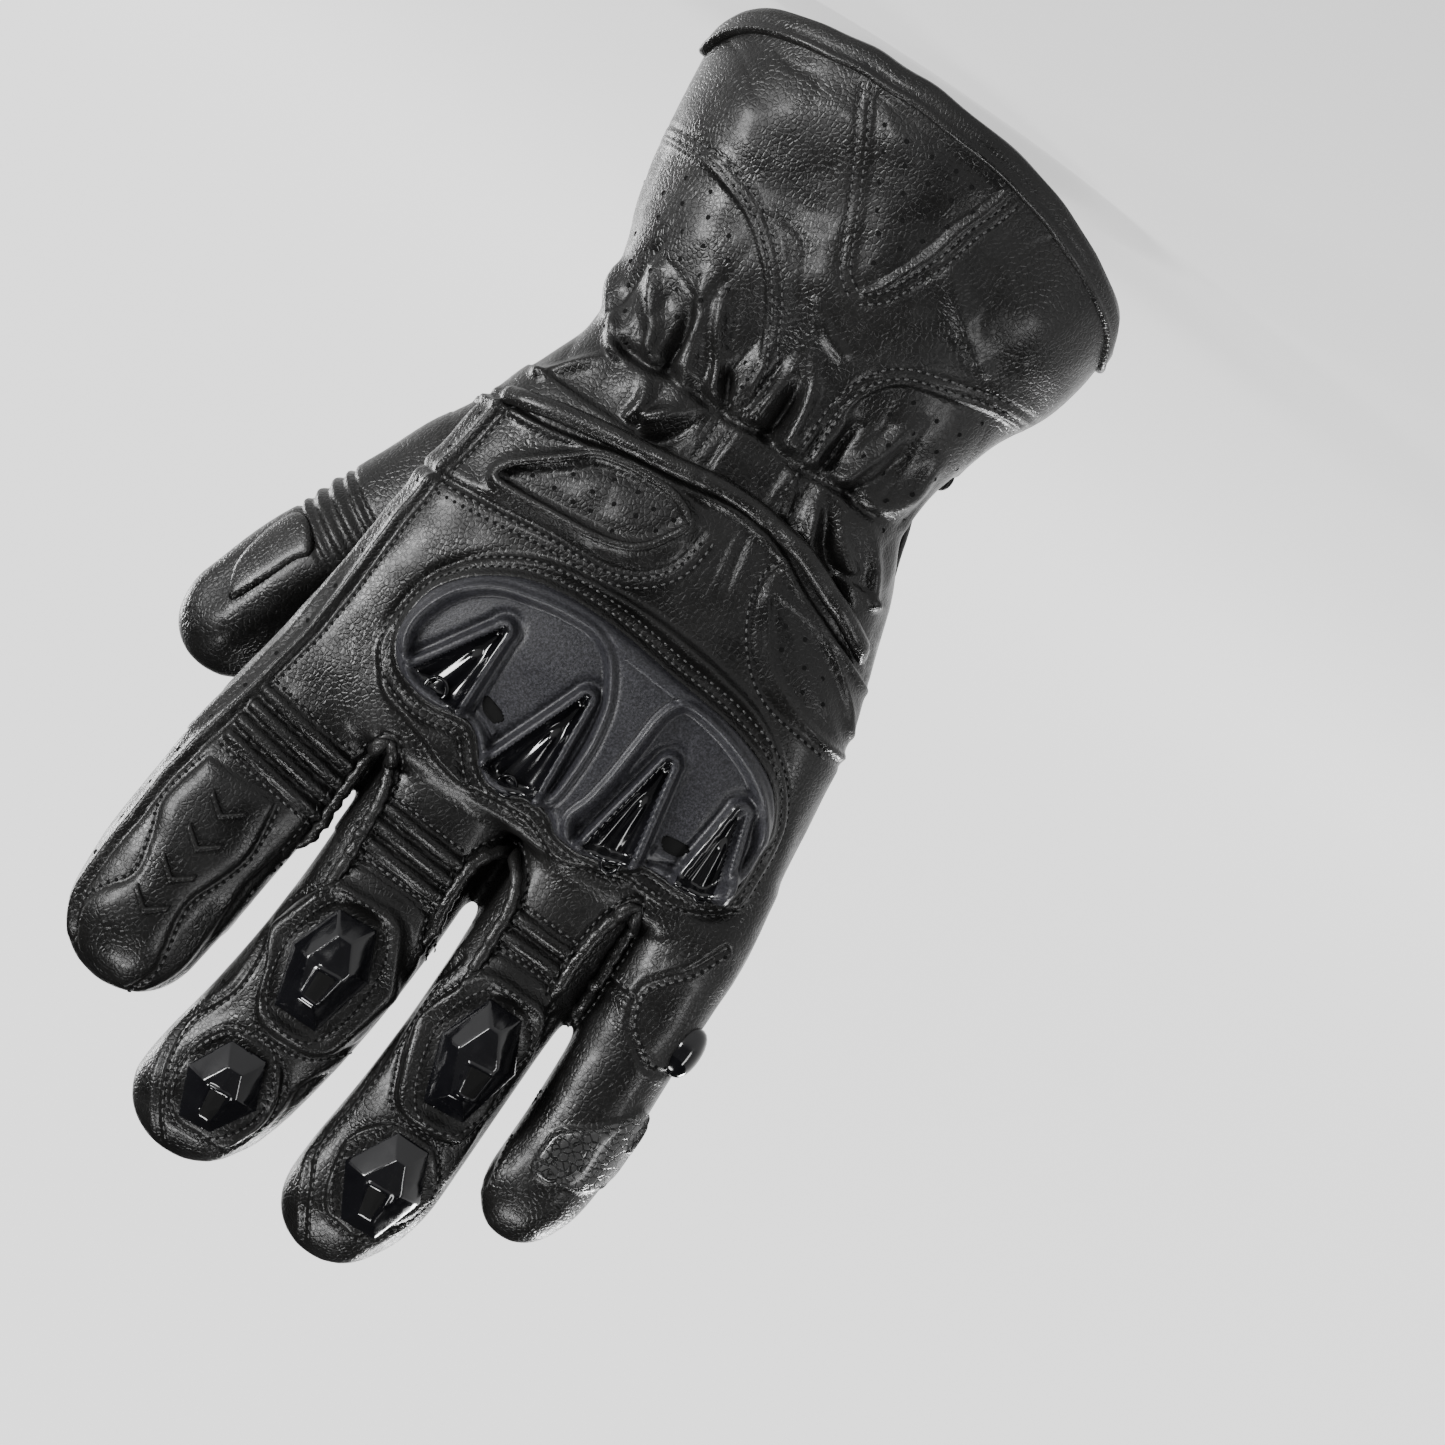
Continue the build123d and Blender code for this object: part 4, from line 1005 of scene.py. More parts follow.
def split_skin():
    """The skin cut into the hand, the cuff and the digits, with the whole skin's normals."""
    mesh = body_mesh
    mesh.vertices.foreach_set("co", (SKIN * MM).ravel())
    mesh.update()
    _, normals = arrays(mesh)
    faces = np.array([f.vertices[:] for f in mesh.polygons])
    centre = SKIN[faces].mean(1)
    keep = centre[:, 2] > rim_height(centre[:, 0]) + SKIN_GAP
    face_owner = owners(P[faces].mean(1))
    nodes = {
        "hand": ["back_panel", "palm_panel", "thumb_gusset", "back_oval_insert", "back_side_insert",
                 "side_strip", "guard_surround"],
        "cuff": ["cuff_back_panel", "cuff_palm_panel", "cuff_v_insert", "cuff_side_inserts"],
        "index": ["index_back", "index_palm", "index_side_walls", "index_stretch_panel",
                  "index_tip_panel"],
        "middle": ["middle_back", "middle_palm", "middle_side_walls", "middle_stretch_panel",
                   "middle_cap_surrounds"],
        "ring": ["ring_back", "ring_palm", "ring_side_walls", "ring_stretch_panel", "ring_cap_surrounds"],
        "little": ["little_back", "little_palm", "little_stretch_panel"],
        "thumb": ["thumb_back", "thumb_palm", "thumb_stretch_panel"],
    }
    for owner, names in nodes.items():
        part = faces[keep & (face_owner == owner)]
        used, index = np.unique(part, return_inverse=True)
        obj = solid(f"{owner}_leather", SKIN[used], index.reshape(part.shape).tolist(), LEATHER)
        obj.data.normals_split_custom_set_from_vertices(normals[used].tolist())
        place(obj, owner, "leather", *names)


split_skin()


def grid_inside(outline, step):
    """Points and quads filling an outline, with the outermost points moved onto it."""
    low, high = outline.min(0) - step, outline.max(0) + step
    xs, zs = np.arange(low[0], high[0] + step, step), np.arange(low[1], high[1] + step, step)
    q = np.stack(np.meshgrid(xs, zs, indexing="ij"), -1).reshape(-1, 2)
    d, near_point = distance(q, outline, True)
    within = inside(q, outline)
    n = len(zs)
    i = np.arange(len(xs) - 1)[:, None] * n + np.arange(n - 1)
    quads = np.stack([i, i + n, i + n + 1, i + 1], -1).reshape(-1, 4)
    quads = quads[within[quads].sum(1) >= 2]
    snap = ~within | (d < 0.3 * step)
    q[snap] = near_point[snap]
    used, index = np.unique(quads, return_inverse=True)
    return q[used], index.reshape(-1, 4)


def plate(name, side, outline, top, bottom, step=0.6, relief=False, material=None, bevel=0.0):
    """A closed sheet between two heights above the body. Heights are numbers or functions of (x, z)."""
    q, quads = grid_inside(outline, step)
    value = lambda h: h(q) if callable(h) else np.full(len(q), float(h))
    high, low = value(top), value(bottom)
    if bevel:
        d, _ = distance(q, outline, True)
        t = np.clip(1 - d / bevel, 0, 1)
        high = high - (high - low) * 0.85 * (1 - np.sqrt(1 - t * t))
    up, _ = surface(side, q, high, relief)
    down, _ = surface(side, q, low, relief)
    n = len(q)
    mesh = bmesh.new()
    verts = [mesh.verts.new(v) for v in np.vstack([up, down]) * MM]
    flip = side != BACK
    for a, b, c, d in quads:
        ring = []
        for i in (a, b, c, d):
            if i not in ring:
                ring.append(i)
        if len(ring) < 3:
            continue
        order = ring if not flip else ring[::-1]
        mesh.faces.new([verts[i] for i in order])
        mesh.faces.new([verts[i + n] for i in reversed(order)])
    mesh.verts.index_update()
    for edge in [e for e in mesh.edges if e.is_boundary and e.verts[0].index < n
                 and e.verts[1].index < n]:
        loop = edge.link_loops[0]
        a, b = loop.vert, loop.link_loop_next.vert
        mesh.faces.new([b, a, verts[a.index + n], verts[b.index + n]])
    bmesh.ops.remove_doubles(mesh, verts=mesh.verts, dist=0.02 * MM)
    data = bpy.data.meshes.new(name)
    mesh.to_mesh(data)
    mesh.free()
    return new_object(name, data, material)


def tube(path, normals, wide, high, count=10, puckers=0.0):
    """Rings of an oval section along a path, pinched every few millimetres by puckers."""
    tangent = np.gradient(path, axis=0)
    tangent /= np.linalg.norm(tangent, axis=1)[:, None] + 1e-9
    across = np.cross(tangent, normals)
    across /= np.linalg.norm(across, axis=1)[:, None] + 1e-9
    t = np.arange(count) * 2 * math.pi / count
    from_end = np.minimum(np.arange(len(path)), np.arange(len(path))[::-1])
    taper = np.minimum(1, from_end / 2 + 0.25)[:, None, None]
    ring = np.cos(t)[None, :, None] * across[:, None] * wide
    ring = ring + np.sin(t)[None, :, None] * normals[:, None] * high
    run = np.concatenate([[0], np.cumsum(np.linalg.norm(np.diff(path, axis=0), axis=1))])
    pinch = 1 + puckers * np.sin(run * 2 * math.pi / 3.3 + 1.2 * np.sin(run / 4))
    return path[:, None] + ring * taper * pinch[:, None, None]


def bead(name, side, line, wide, high, lift=0.0, closed=False, puckers=0.0):
    """A piped or rolled edge lying along a line."""
    line = np.vstack([line, line[:1]]) if closed else line[SIDES[side].seen(line, 0.12)]
    path, normals = surface(side, line, lift)
    if not closed:
        sink = np.minimum(np.arange(len(line)), np.arange(len(line))[::-1]) / 5.0
        path -= normals * ((lift + high / 2) * (1 - rise(sink, 0, 1)))[:, None]
    rings = list(tube(path, normals, wide / 2, high / 2, 12, puckers))
    return solid(name, *ring_mesh(rings), SMOOTH_LEATHER)


# --- Stitching and punched holes ----------------------------------------------------------------
stitches, holes = {}, {}
THUMB_FRONT = 26.0  # palm points further out than this lie on the thumb, not on the palm


def digit_at(q, side):
    """Which piece of leather lies at each (x, z)."""
    base, _ = SIDES[side].at(q)
    return owners(base)


def on_leather(side, q, lift, raised):
    return surface(side, q, lift) if raised is None else surface(side, q, raised(q) + lift, False)


STITCH_LIFT = 0.1  # how far a thread stands above the leather


def stitch(side, line, out=0.0, closed=False, pitch=1.8, long=1.25, wide=0.5, owner=None, raised=None):
    """A row of stitches along a line: short threads, and between each two a needle hole drawn as a dish
    of painted shade.
    """
    line = offset(np.asarray(line, float), out, closed)
    if closed:
        line = np.vstack([line, line[:1]])
    run = np.concatenate([[0], np.cumsum(np.linalg.norm(np.diff(line, axis=0), axis=1))])
    starts = np.arange(pitch * 0.3, run[-1] - long, pitch)
    at = starts[:, None] + np.append(np.linspace(0, long, 4), (long + pitch) / 2)
    q = np.stack([np.interp(at, run, line[:, 0]), np.interp(at, run, line[:, 1])], -1)
    q = q[SIDES[side].seen(q[:, 1])]
    if side == PALM and len(q):
        q = q[(digit_at(q[:, 1], side) != "thumb") & (SIDES[side].at(q[:, 1])[0][:, 1] < THUMB_FRONT)]
    if not len(q):
        return
    path, normals = on_leather(side, q[:, :4].reshape(-1, 2), STITCH_LIFT, raised)
    path, normals = path.reshape(-1, 4, 3), normals.reshape(-1, 4, 3)
    whole = np.ptp(path, axis=1).max(1) < 1.8 * long  # not one that spans a step between two surfaces
    q, path, normals = q[whole], path[whole], normals[whole]
    path -= normals * (np.array([0.5, 0.06, 0.06, 0.5]) * wide)[:, None]
    who = np.full(len(q), owner) if owner else digit_at(q[:, 1], side)
    for k in range(len(q)):
        rings = tube(path[k], normals[k], wide / 2, wide / 2, 6)
        stitches.setdefault(str(who[k]), []).append(ring_mesh(list(rings)))
    punch(side, q[:, 4], 0.4, owner, raised)


HOLE_PROFILE = [(1.15, -0.15), (1.0, 0.09), (0.7, 0.05), (0.3, 0.03)]  # radius share, height


def punch(side, points, radius=0.5, owner=None, raised=None):
    """Punched holes: a dish with a softened lip at each point, coloured near black as painted shade
    inside the hole.
    """
    q = np.asarray(points, float).reshape(-1, 2)
    q = q[SIDES[side].seen(q)]
    if not len(q):
        return
    centre, normal = on_leather(side, q, 0.0, raised)
    u = np.cross(normal, [0, 0, 1.0])
    u /= np.linalg.norm(u, axis=1)[:, None]
    v = np.cross(normal, u)
    t = np.arange(8) * 2 * math.pi / 8
    circle = np.cos(t)[None, :, None] * u[:, None] + np.sin(t)[None, :, None] * v[:, None]
    who = np.full(len(q), owner) if owner else digit_at(q, side)
    for k in range(len(q)):
        rings = [centre[k] + normal[k] * h + circle[k] * (radius * r) for r, h in HOLE_PROFILE]
        holes.setdefault(str(who[k]), []).append(ring_mesh(rings))


def staggered(outline, spacing, margin, window=None):
    """Evenly staggered points inside an outline."""
    low, high = outline.min(0), outline.max(0)
    rows = []
    for k, z in enumerate(np.arange(low[1], high[1], spacing * 0.86)):
        x = np.arange(low[0] + (k % 2) * spacing / 2, high[0], spacing)
        rows.append(np.stack([x, np.full(len(x), z)], 1))
    q = np.vstack(rows)
    q = q + 0.25 * np.stack([waves(q, 91, 9.0), waves(q, 92, 9.0)], 1)
    keep = depth_in(q, outline) > margin
    if window:
        left, right, bottom, top = window
        keep &= (q[:, 0] > left) & (q[:, 0] < right) & (q[:, 1] > bottom) & (q[:, 1] < top)
    return q[keep]


def above_rim(q, gap):
    return q[q[:, 1] > rim_height(q[:, 0]) + gap]


punch(BACK, above_rim(staggered(V_INSERT, 5.4, 2.0), 8))
punch(BACK, staggered(THUMB_INSERT, 5.6, 3.0, (0, 41, 38, 80)))
punch(BACK, staggered(OUTER_INSERT, 5.6, 2.5, (-46, 0, 44, 78)))
punch(BACK, staggered(OVAL, 4.9, 1.7))
punch(BACK, staggered(SIDE_INSERT, 5.0, 1.6, (-54, 0, 0, 200)))
strip_middle = STRIP_INNER + [3.1, 0]
punch(BACK, strip_middle[6::9])
punch(BACK, smoother([(23, 216), (22.6, 222), (23, 228)], step=6), 0.5, "middle")
punch(BACK, [(17.8, 186), (18.3, 180), (19, 191), (18, 196)], 0.5, "middle")
punch(BACK, [(-10.5, 188), (-10.2, 182), (-11.5, 194), (-36.8, 184), (-36.6, 178)], 0.5)
tip_patch = smoother([(37, 236), (50, 236), (52, 226), (49, 220), (37, 220), (34.5, 228)], True)
punch(PALM, staggered(tip_patch, 4.0, 1.0), 0.5, "index")

for edge, outs in ((V_LEFT, (1.5, -0.5)), (V_RIGHT, (1.0, -1.0))):
    for out in outs:
        stitch(BACK, above_rim(edge, 7), out)
thumb_edge = THUMB_INSERT_EDGE[(THUMB_INSERT_EDGE[:, 0] < 44) & (THUMB_INSERT_EDGE[:, 1] < 76)]
outer_edge = OUTER_INSERT_EDGE[(OUTER_INSERT_EDGE[:, 0] > -45) & (OUTER_INSERT_EDGE[:, 1] < 74)]
for edge in (thumb_edge, outer_edge):
    for out in (1.3, 3.2):
        stitch(BACK, edge, out)
for x in WRIST_ROWS:
    stitch(BACK, smoother([(x - 0.2, 63), (x, 75), (x + 0.2, 87)]), owner="cuff")
for out in (-1.2, -3.2):
    stitch(BACK, OVAL_SEAM[OVAL_SEAM[:, 0] < 44], out)
stitch(BACK, SIDE_SEAM[SIDE_SEAM[:, 0] > -53], -1.0)
stitch(BACK, GUARD, 1.6, True, 1.7, 1.15, 0.6)
stitch(BACK, GUARD, 3.6, True, 1.7, 1.15, 0.6)
stitch(BACK, STRIP_INNER[STRIP_INNER[:, 1] < 175], -1.2)
for name, pads in PADS.items():
    for pad, (cap, _, _) in zip(pads, CAPS[name]):
        hole = smoother(cap, True)
        centre = hole.mean(0)
        stitch(BACK, centre + (hole - centre) * 1.22, 0.0, True, 1.6, 1.1, 0.45, owner=name)
        stitch(BACK, centre + (pad - centre) * 1.06, 0.0, True, 1.6, 1.1, 0.45, owner=name)
stitch(BACK, smoother(TIP_PANEL_LEFT), -0.9, owner="index")
stitch(BACK, smoother(TIP_PANEL_RIGHT), 0.9, owner="index")
for name, lines in TIP_SEAMS.items():
    for line in lines:
        stitch(BACK, line, 1.2)
for line in CROTCHES:
    stitch(BACK, line, 1.5)
for name, ((left, right), ridges) in FOLDS.items():
    low, high = ridges[-1][0] - 3.1, ridges[0][0] + 3.1
    for z in (low, high):
        stitch(BACK, smoother([(left, z), (right, z + ridges[0][1] * (right - left))]))
stitch(BACK, CRACKED[CRACKED[:, 0] > -63], 1.0, owner="little")
for line in PALM_SEAMS:
    for out in (1.3, 3.3):
        stitch(PALM, line, out)

# --- The knuckle guard --------------------------------------------------------------------------
GUARD_RISE = 6.4


def in_wedge(q, wedge, grow=0.0):
    """Distance inside a wedge with a rounded tip, how far along it, and its half width there."""
    tip, left, right = (np.array(p, float) for p in wedge)
    top = (left + right) / 2
    length, half = np.linalg.norm(top - tip), np.linalg.norm(right - left) / 2
    axis = (top - tip) / length
    along, across = (q - tip) @ axis, (q - tip) @ np.array([axis[1], -axis[0]])
    t = along / length
    width = 0.7 + (half - 0.7) * np.clip(t, 0, 1.1) + grow
    rounded = width - np.hypot(across, np.minimum(along, 0) * 0.9)
    return rounded, t, width


def guard_height(q):
    """The guard's outside: a crowned shell with two sunk fields and four channels between raised arms."""
    d = np.maximum(depth_in(q, GUARD), 0)
    h = 2.2 + (GUARD_RISE - 2.2) * np.sqrt(1 - (1 - np.clip(d / 3.0, 0, 1)) ** 2) + 0.8 * rise(d, 3, 16)
    for field in (FIELD_LEFT, FIELD_RIGHT):
        e = depth_in(q, field)
        h += 0.7 * bump(e + 0.8, 0.6) - 0.35 * bump(e + 2.0, 0.4) - 2.3 * rise(e, -0.2, 1.3)
    h -= 0.35 * np.exp(-((distance(q, np.array([(-21, 129.2), (-8, 128.3)]))[0] / 0.4) ** 2))
    for wedge in SCOOPS:
        w, t, width = in_wedge(q, wedge, 0.4)
        open_end = 1 - rise(t, 1.02, 1.12)
        arm = (1.9 + 0.9 * np.clip(t, 0, 1)) * open_end
        h += arm * rise(w, -1.9, -0.7) - 0.5 * open_end * bump(w + 2.3, 0.8)
        inward = np.clip((w - 0.3) / np.maximum(width - 0.3, 0.4), 0, 1)
        deep = (2.6 + 1.3 * np.clip(t, 0, 1)) * rise(t, -0.08, 0.1) * open_end
        h -= deep * np.sqrt(np.clip(1 - (1 - inward) ** 2, 0, 1)) * (w > 0.3)
        h += 1.1 * rise(inward, 0.45, 1.0) * rise(t, 0.3, 0.5) * open_end
    for x, z, tilt in SLOTS:
        u, v = q[:, 0] - x, (q[:, 1] - z) - tilt * (q[:, 0] - x)
        h += 0.8 * bump(v - 2.4, 0.8) * (np.abs(u) < 2.9)
    return np.maximum(h, 0.9)


def guard_materials(obj):
    """Gloss inside the scoops, matt elsewhere."""
    obj.data.materials.append(GLOSS)
    centre = np.array([f.center for f in obj.data.polygons]) / MM
    q = centre[:, [0, 2]]
    gloss = np.zeros(len(q), bool)
    for wedge in SCOOPS:
        w, t, _ = in_wedge(q, wedge, 0.4)
        gloss |= (w > 0.3) & (t > -0.1) & (t < 1.1)
    obj.data.polygons.foreach_set("material_index", gloss.astype(int))


guard = plate("knuckle_guard_shell", BACK, GUARD, guard_height, 0.4, 0.5 * FINE, material=GUARD_PLASTIC)
guard_materials(guard)
place(guard, "hand", "matte_guard", "knuckle_guard", "guard_foam", "guard_scoops")


def vent(name, centre, radius, lift):
    """A round vent: a raised ring with a deep middle."""
    t = np.arange(28) * 2 * math.pi / 28
    rings = []
    for r, h in ((1.5, -0.8), (1.45, 0.5), (1.25, 0.95), (1.0, 0.8), (0.8, -0.7), (0.3, -1.1)):
        q = np.array(centre) + radius * r * np.stack([np.cos(t), np.sin(t)], 1)
        rings.append(surface(BACK, q, lift + h * radius * 0.6, False)[0])
    return place(solid(name, *ring_mesh(rings), GLOSS), "hand", "gloss_guard")


for i, (x, z, radius) in enumerate(VENTS):
    floor = float(guard_height(np.array([[x, z - 2.2]]))[0])
    vent(f"guard_vent_{i + 1}", (x, z), radius, floor - 0.5)

SLOT_SHADE_LIFT = 0.12  # how far a slot's sheet of painted shade stands above the face that it marks
SLOT_SHAPE = [(-2.6, -1.3), (2.4, -1.5), (2.9, -0.4), (1.9, 1.2), (0, 1.5), (-1.9, 1.1)]
# Each slot is drawn as a near-black sheet on the guard: painted shade in place of the slot's depth.
for i, (x, z, tilt) in enumerate(SLOTS):
    outline = smoother([(x + u, z + v + tilt * u) for u, v in SLOT_SHAPE], True, 0.4)
    face = lambda q: guard_height(q) + SLOT_SHADE_LIFT
    slot_piece = plate(f"guard_slot_{i + 1}", BACK, outline, face, 3.0, 0.5, material=HOLE_SHADE)
    place(slot_piece, "hand", "matte_guard")

# --- Hard caps of the middle and ring fingers ---------------------------------------------------


def straight_sided(corners, count):
    """A closed outline with straight sides, as count points along each."""
    return np.vstack([a + (b - a) * np.linspace(0, 1, count)[:-1, None]
                      for a, b in zip(corners, np.roll(corners, -1, 0))])


def window_shape(spot):
    """The window in a hard cap: a small trapezium."""
    x, z, lean = spot
    corners = [(-1.5, -3.4), (1.9, -3.0), (1.5, 2.6), (-0.9, 2.6)]
    return np.array([(x + u + lean * v, z + v) for u, v in corners])


CAP_BEVEL = 4.2


def cap_height(corners, window, rise_to):
    """A bevelled block over the cap's corners, with a slightly domed face and a rim round its window."""
    (x0, z0), (x1, z1) = corners.T, np.roll(corners, -1, 0).T
    turn = np.sign(np.sum(x0 * z1 - x1 * z0))

    def height(q):
        roof = np.full(len(q), CAP_BEVEL)
        crown = depth_in(q, corners)
        for a, b in zip(corners, np.roll(corners, -1, 0)):
            side = (b - a) / np.linalg.norm(b - a)
            roof = np.minimum(roof, turn * ((q[:, 1] - a[1]) * side[0] - (q[:, 0] - a[0]) * side[1]))
        h = 1.4 + (rise_to - 1.4) * np.maximum(roof, 0) / CAP_BEVEL + 0.5 * rise(crown, CAP_BEVEL, 8)
        return h + 0.3 * np.exp(-(((depth_in(q, window) + 0.4) / 0.35) ** 2))
    return height


for name, caps in CAPS.items():
    for (points, spot, high), place_name in zip(caps, ("knuckle_cap", "tip_cap")):
        corners = np.array(points, float)
        corners = corners.mean(0) + (corners - corners.mean(0)) * 1.05
        outline = straight_sided(corners, 12)
        height = cap_height(corners, window_shape(spot), high + 0.5)
        cap = plate(f"{name}_{place_name}_shell", BACK, outline, height, 0.0, 0.3, False, GLOSS)
        place(cap, name, "gloss_guard", f"{name}_{place_name}")
        # Each window is a near-black sheet on the cap: painted shade in place of the window's depth.
        face = lambda q: height(q) + 0.08
        inset = plate(f"{name}_{place_name}_window", BACK, window_shape(spot), face, 0.5, 0.3,
                      material=HOLE_SHADE)
        place(inset, name, "gloss_guard")

CHEVRON = [(-4.3, -1.9), (0, 1.3), (4.3, -1.9), (4.3, 0.1), (0, 3.3), (-4.3, 0.1)]
for i, (x, z) in enumerate(CHEVRONS):
    corners = np.array(CHEVRON) * [0.92, 1.0] + [x, z]
    outline = straight_sided(corners, 8)
    mark = plate(f"index_chevron_{i + 1}", BACK, outline, 1.0, -0.4, 0.3, True, SMOOTH_LEATHER, 0.7)
    place(mark, "index", "leather")

# --- Sewn edges, bands and patches --------------------------------------------------------------
for line, (left, right) in zip(CROTCHES, (("middle", "index"), ("ring", "middle"), ("little", "ring"))):
    lowest = int(np.argmin(line[:, 1]))
    for side_line, name in ((line[:lowest + 2], left), (line[lowest - 2:], right)):
        piping = bead(f"{left}_{right}_piping_{name}", BACK, side_line, 2.7, 2.4, 0.8, puckers=0.16)
        place(piping, name, "leather")

roll_line = BAND[BAND[:, 0] < 44.3]  # up to the thumb's side of the back
wrist_band = bead("wrist_band_roll", BACK, roll_line, 4.2, 3.4, 1.0)
place(wrist_band, "hand", "leather", "wrist_band")
oval_rim = bead("oval_insert_rim", BACK, OVAL, 1.9, 1.5, 0.1, closed=True)
place(oval_rim, "hand", "leather")


def binding():
    """The folded edge round the cuff's opening, with a corded line along its top."""
    profile = [(-2.2, 5.6), (-2.3, 2.0), (-1.9, 0.5), (-0.9, -0.1), (0.1, 0.3), (0.75, 1.6), (0.85, 3.2),
               (0.7, 4.1), (0.95, 4.5), (1.35, 5.0), (1.3, 5.7), (0.8, 6.1), (0.0, 6.2), (-1.0, 6.0)]
    count = 360
    rings = []
    for out, up in profile:
        ring = []
        t = np.arange(count) * 2 * math.pi / count
        z = np.full(count, 5.0)
        for _ in range(3):  # the ring's height follows the rim below it
            left, right, b, n = table(HAND, z).T
            x = (left + right) / 2 + (right - left) / 2 * np.cos(t)
            z = rim_height(x) + up
        y = 1.0 + (b + out) * np.sin(t)
        x = (left + right) / 2 + ((right - left) / 2 + out) * np.cos(t)
        wobble = 0.12 * waves(np.stack([x, y], 1), 83, 16.0)
        rings.append(np.stack([x, y, z + wobble], 1))
    verts = np.vstack(rings)
    m = len(profile)
    faces = [(i * count + j, i * count + (j + 1) % count,
              (i + 1) % m * count + (j + 1) % count, (i + 1) % m * count + j)
             for i in range(m) for j in range(count)]
    obj = solid("cuff_binding_roll", verts, faces, SMOOTH_LEATHER)
    place(obj, "hand", "leather", "cuff_binding")


binding()


def hand_lining():
    rings = hand_rings(-LINING_GAP, 0, 164, 160)
    for k, ring in enumerate(rings):
        if ring[0, 2] > 32:
            break
        ring[:, 2] = np.maximum(ring[:, 2], rim_height(ring[:, 0]) + RIM_LINING_GAP + 0.01 * k)
    verts, faces = ring_mesh(rings)
    faces = [f for f in faces if len(verts) - 2 not in f]
    verts[:-2] += 0.35 * waves(verts[:-2], 87, 20.0)[:, None] * [0, 1, 0]
    obj = solid("hand_lining_knit", verts, [f[::-1] for f in faces], LINING)
    place(obj, "hand", "lining", "hand_lining", "wrist_elastic")


hand_lining()

# --- Straps and palm patches --------------------------------------------------------------------
STRAP_LOW, STRAP_HIGH = 2.6, 4.6


def flat_relief(q):
    return STRAP_HIGH + 0.15 * waves(q, 95, 22.0)


def strap_height(outline, pads=()):
    def height(q):
        d = np.maximum(depth_in(q, outline), 0)
        h = flat_relief(q) - 0.35 * bump(d - 2.0, 0.7) - 0.7 * (1 - rise(d, 0, 1.0))
        for pad in pads:
            e = depth_in(q, pad)
            h -= 0.6 * bump(e + 0.5, 0.8)
        return h
    return height


CUFF_ROOT, WRIST_ROOT = np.array([(47.5, 14.5), (42.8, 49)]), np.array([(-37.9, 70.5), (-50.7, 108)])


def settled(height, root):
    """The height of a strap's face, brought down to the leather beside its sewn root."""
    return lambda q: height(q) - (STRAP_LOW - 0.3) * (1 - rise(distance(q, root)[0], 1.0, 11.0))


STRAPS = (("cuff_strap", CUFF_STRAP, CUFF_ROOT, ()),
    ("wrist_strap", WRIST_STRAP, WRIST_ROOT, HEEL_PADS))
for owner, outline, root, pads in STRAPS:
    height = settled(strap_height(outline, pads), root)
    under = settled(lambda q: np.full(len(q), STRAP_LOW), root)
    strap = plate(f"{owner}_leather", STRAP_BED, outline, height, under, FINE, material=STRAP_LEATHER)
    place(strap, owner, "leather", owner)
    for inset in (1.8, 3.9):
        stitch(STRAP_BED, offset(outline, inset), owner=owner, raised=height)

for i, pad in enumerate(HEEL_PADS):
    crown = lambda q: height(q) - 0.3 + 2.3 * np.sqrt(rise(depth_in(q, pad), -0.3, 5.5))
    cushion = plate(f"heel_pad_{i + 1}", STRAP_BED, pad, crown, STRAP_LOW + 0.6, FINE,
                    material=SMOOTH_LEATHER)
    place(cushion, "wrist_strap", "leather", *(["heel_pads"] if i == 0 else []))
    stitch(STRAP_BED, pad, 1.0, True, owner="wrist_strap", raised=height)

cuff_hook = smoother([(28, 19), (3, 17), (2, 26), (10, 37.5), (27, 39)], True)
HOOK_TOP, HOOK_BOTTOM, TAPE_STEP = STRAP_LOW - 0.05, STRAP_LOW - 0.9, 0.9
hook = plate("cuff_hook_patch", STRAP_BED, cuff_hook, HOOK_TOP, HOOK_BOTTOM, TAPE_STEP, material=HOOK)
place(hook, "cuff_strap", "hook_tape", "cuff_hook_tape")
wrist_hook = smoother([(-14, 77), (19, 77), (27, 90), (18, 101), (-16, 101)], True)
hook = plate("wrist_hook_patch", STRAP_BED, wrist_hook, HOOK_TOP, HOOK_BOTTOM, TAPE_STEP, material=HOOK)
place(hook, "wrist_strap", "hook_tape", "wrist_hook_tape")
cuff_loop = smoother([(40, 19), (2, 17), (0, 27), (10, 39), (38, 42)], True)
wrist_loop = smoother([(-28, 76), (20, 76), (28, 90), (18, 102), (-34, 103)], True)
for name, outline in (("cuff_loop_patch", cuff_loop), ("wrist_loop_patch", wrist_loop)):
    loop_piece = plate(name, PALM, outline, 1.2, -2.0, 0.9, material=LOOP)
    place(loop_piece, "hand", "loop_tape", *(["loop_tapes"] if name == "cuff_loop_patch" else []))


def pebbles(q):
    """A crowded field of small domes."""
    pitch = 2.0
    row = np.round(q[:, 1] / (pitch * 0.866))
    x0 = np.round(q[:, 0] / pitch - (row % 2) / 2) + (row % 2) / 2
    seat = np.stack([x0 * pitch, row * pitch * 0.866], 1)
    seat += 0.28 * np.stack([waves(seat, 97, 3.0), waves(seat, 98, 3.0)], 1)
    d = np.hypot(*(q - seat).T)
    return 0.85 * np.sqrt(np.maximum(0, 1 - (d / 0.86) ** 2))


def grip_height(q):
    d = depth_in(q, GRIP)
    return 0.8 - 0.5 * (1 - rise(d, 0, 0.8)) + pebbles(q) * rise(d, 0.8, 1.6)


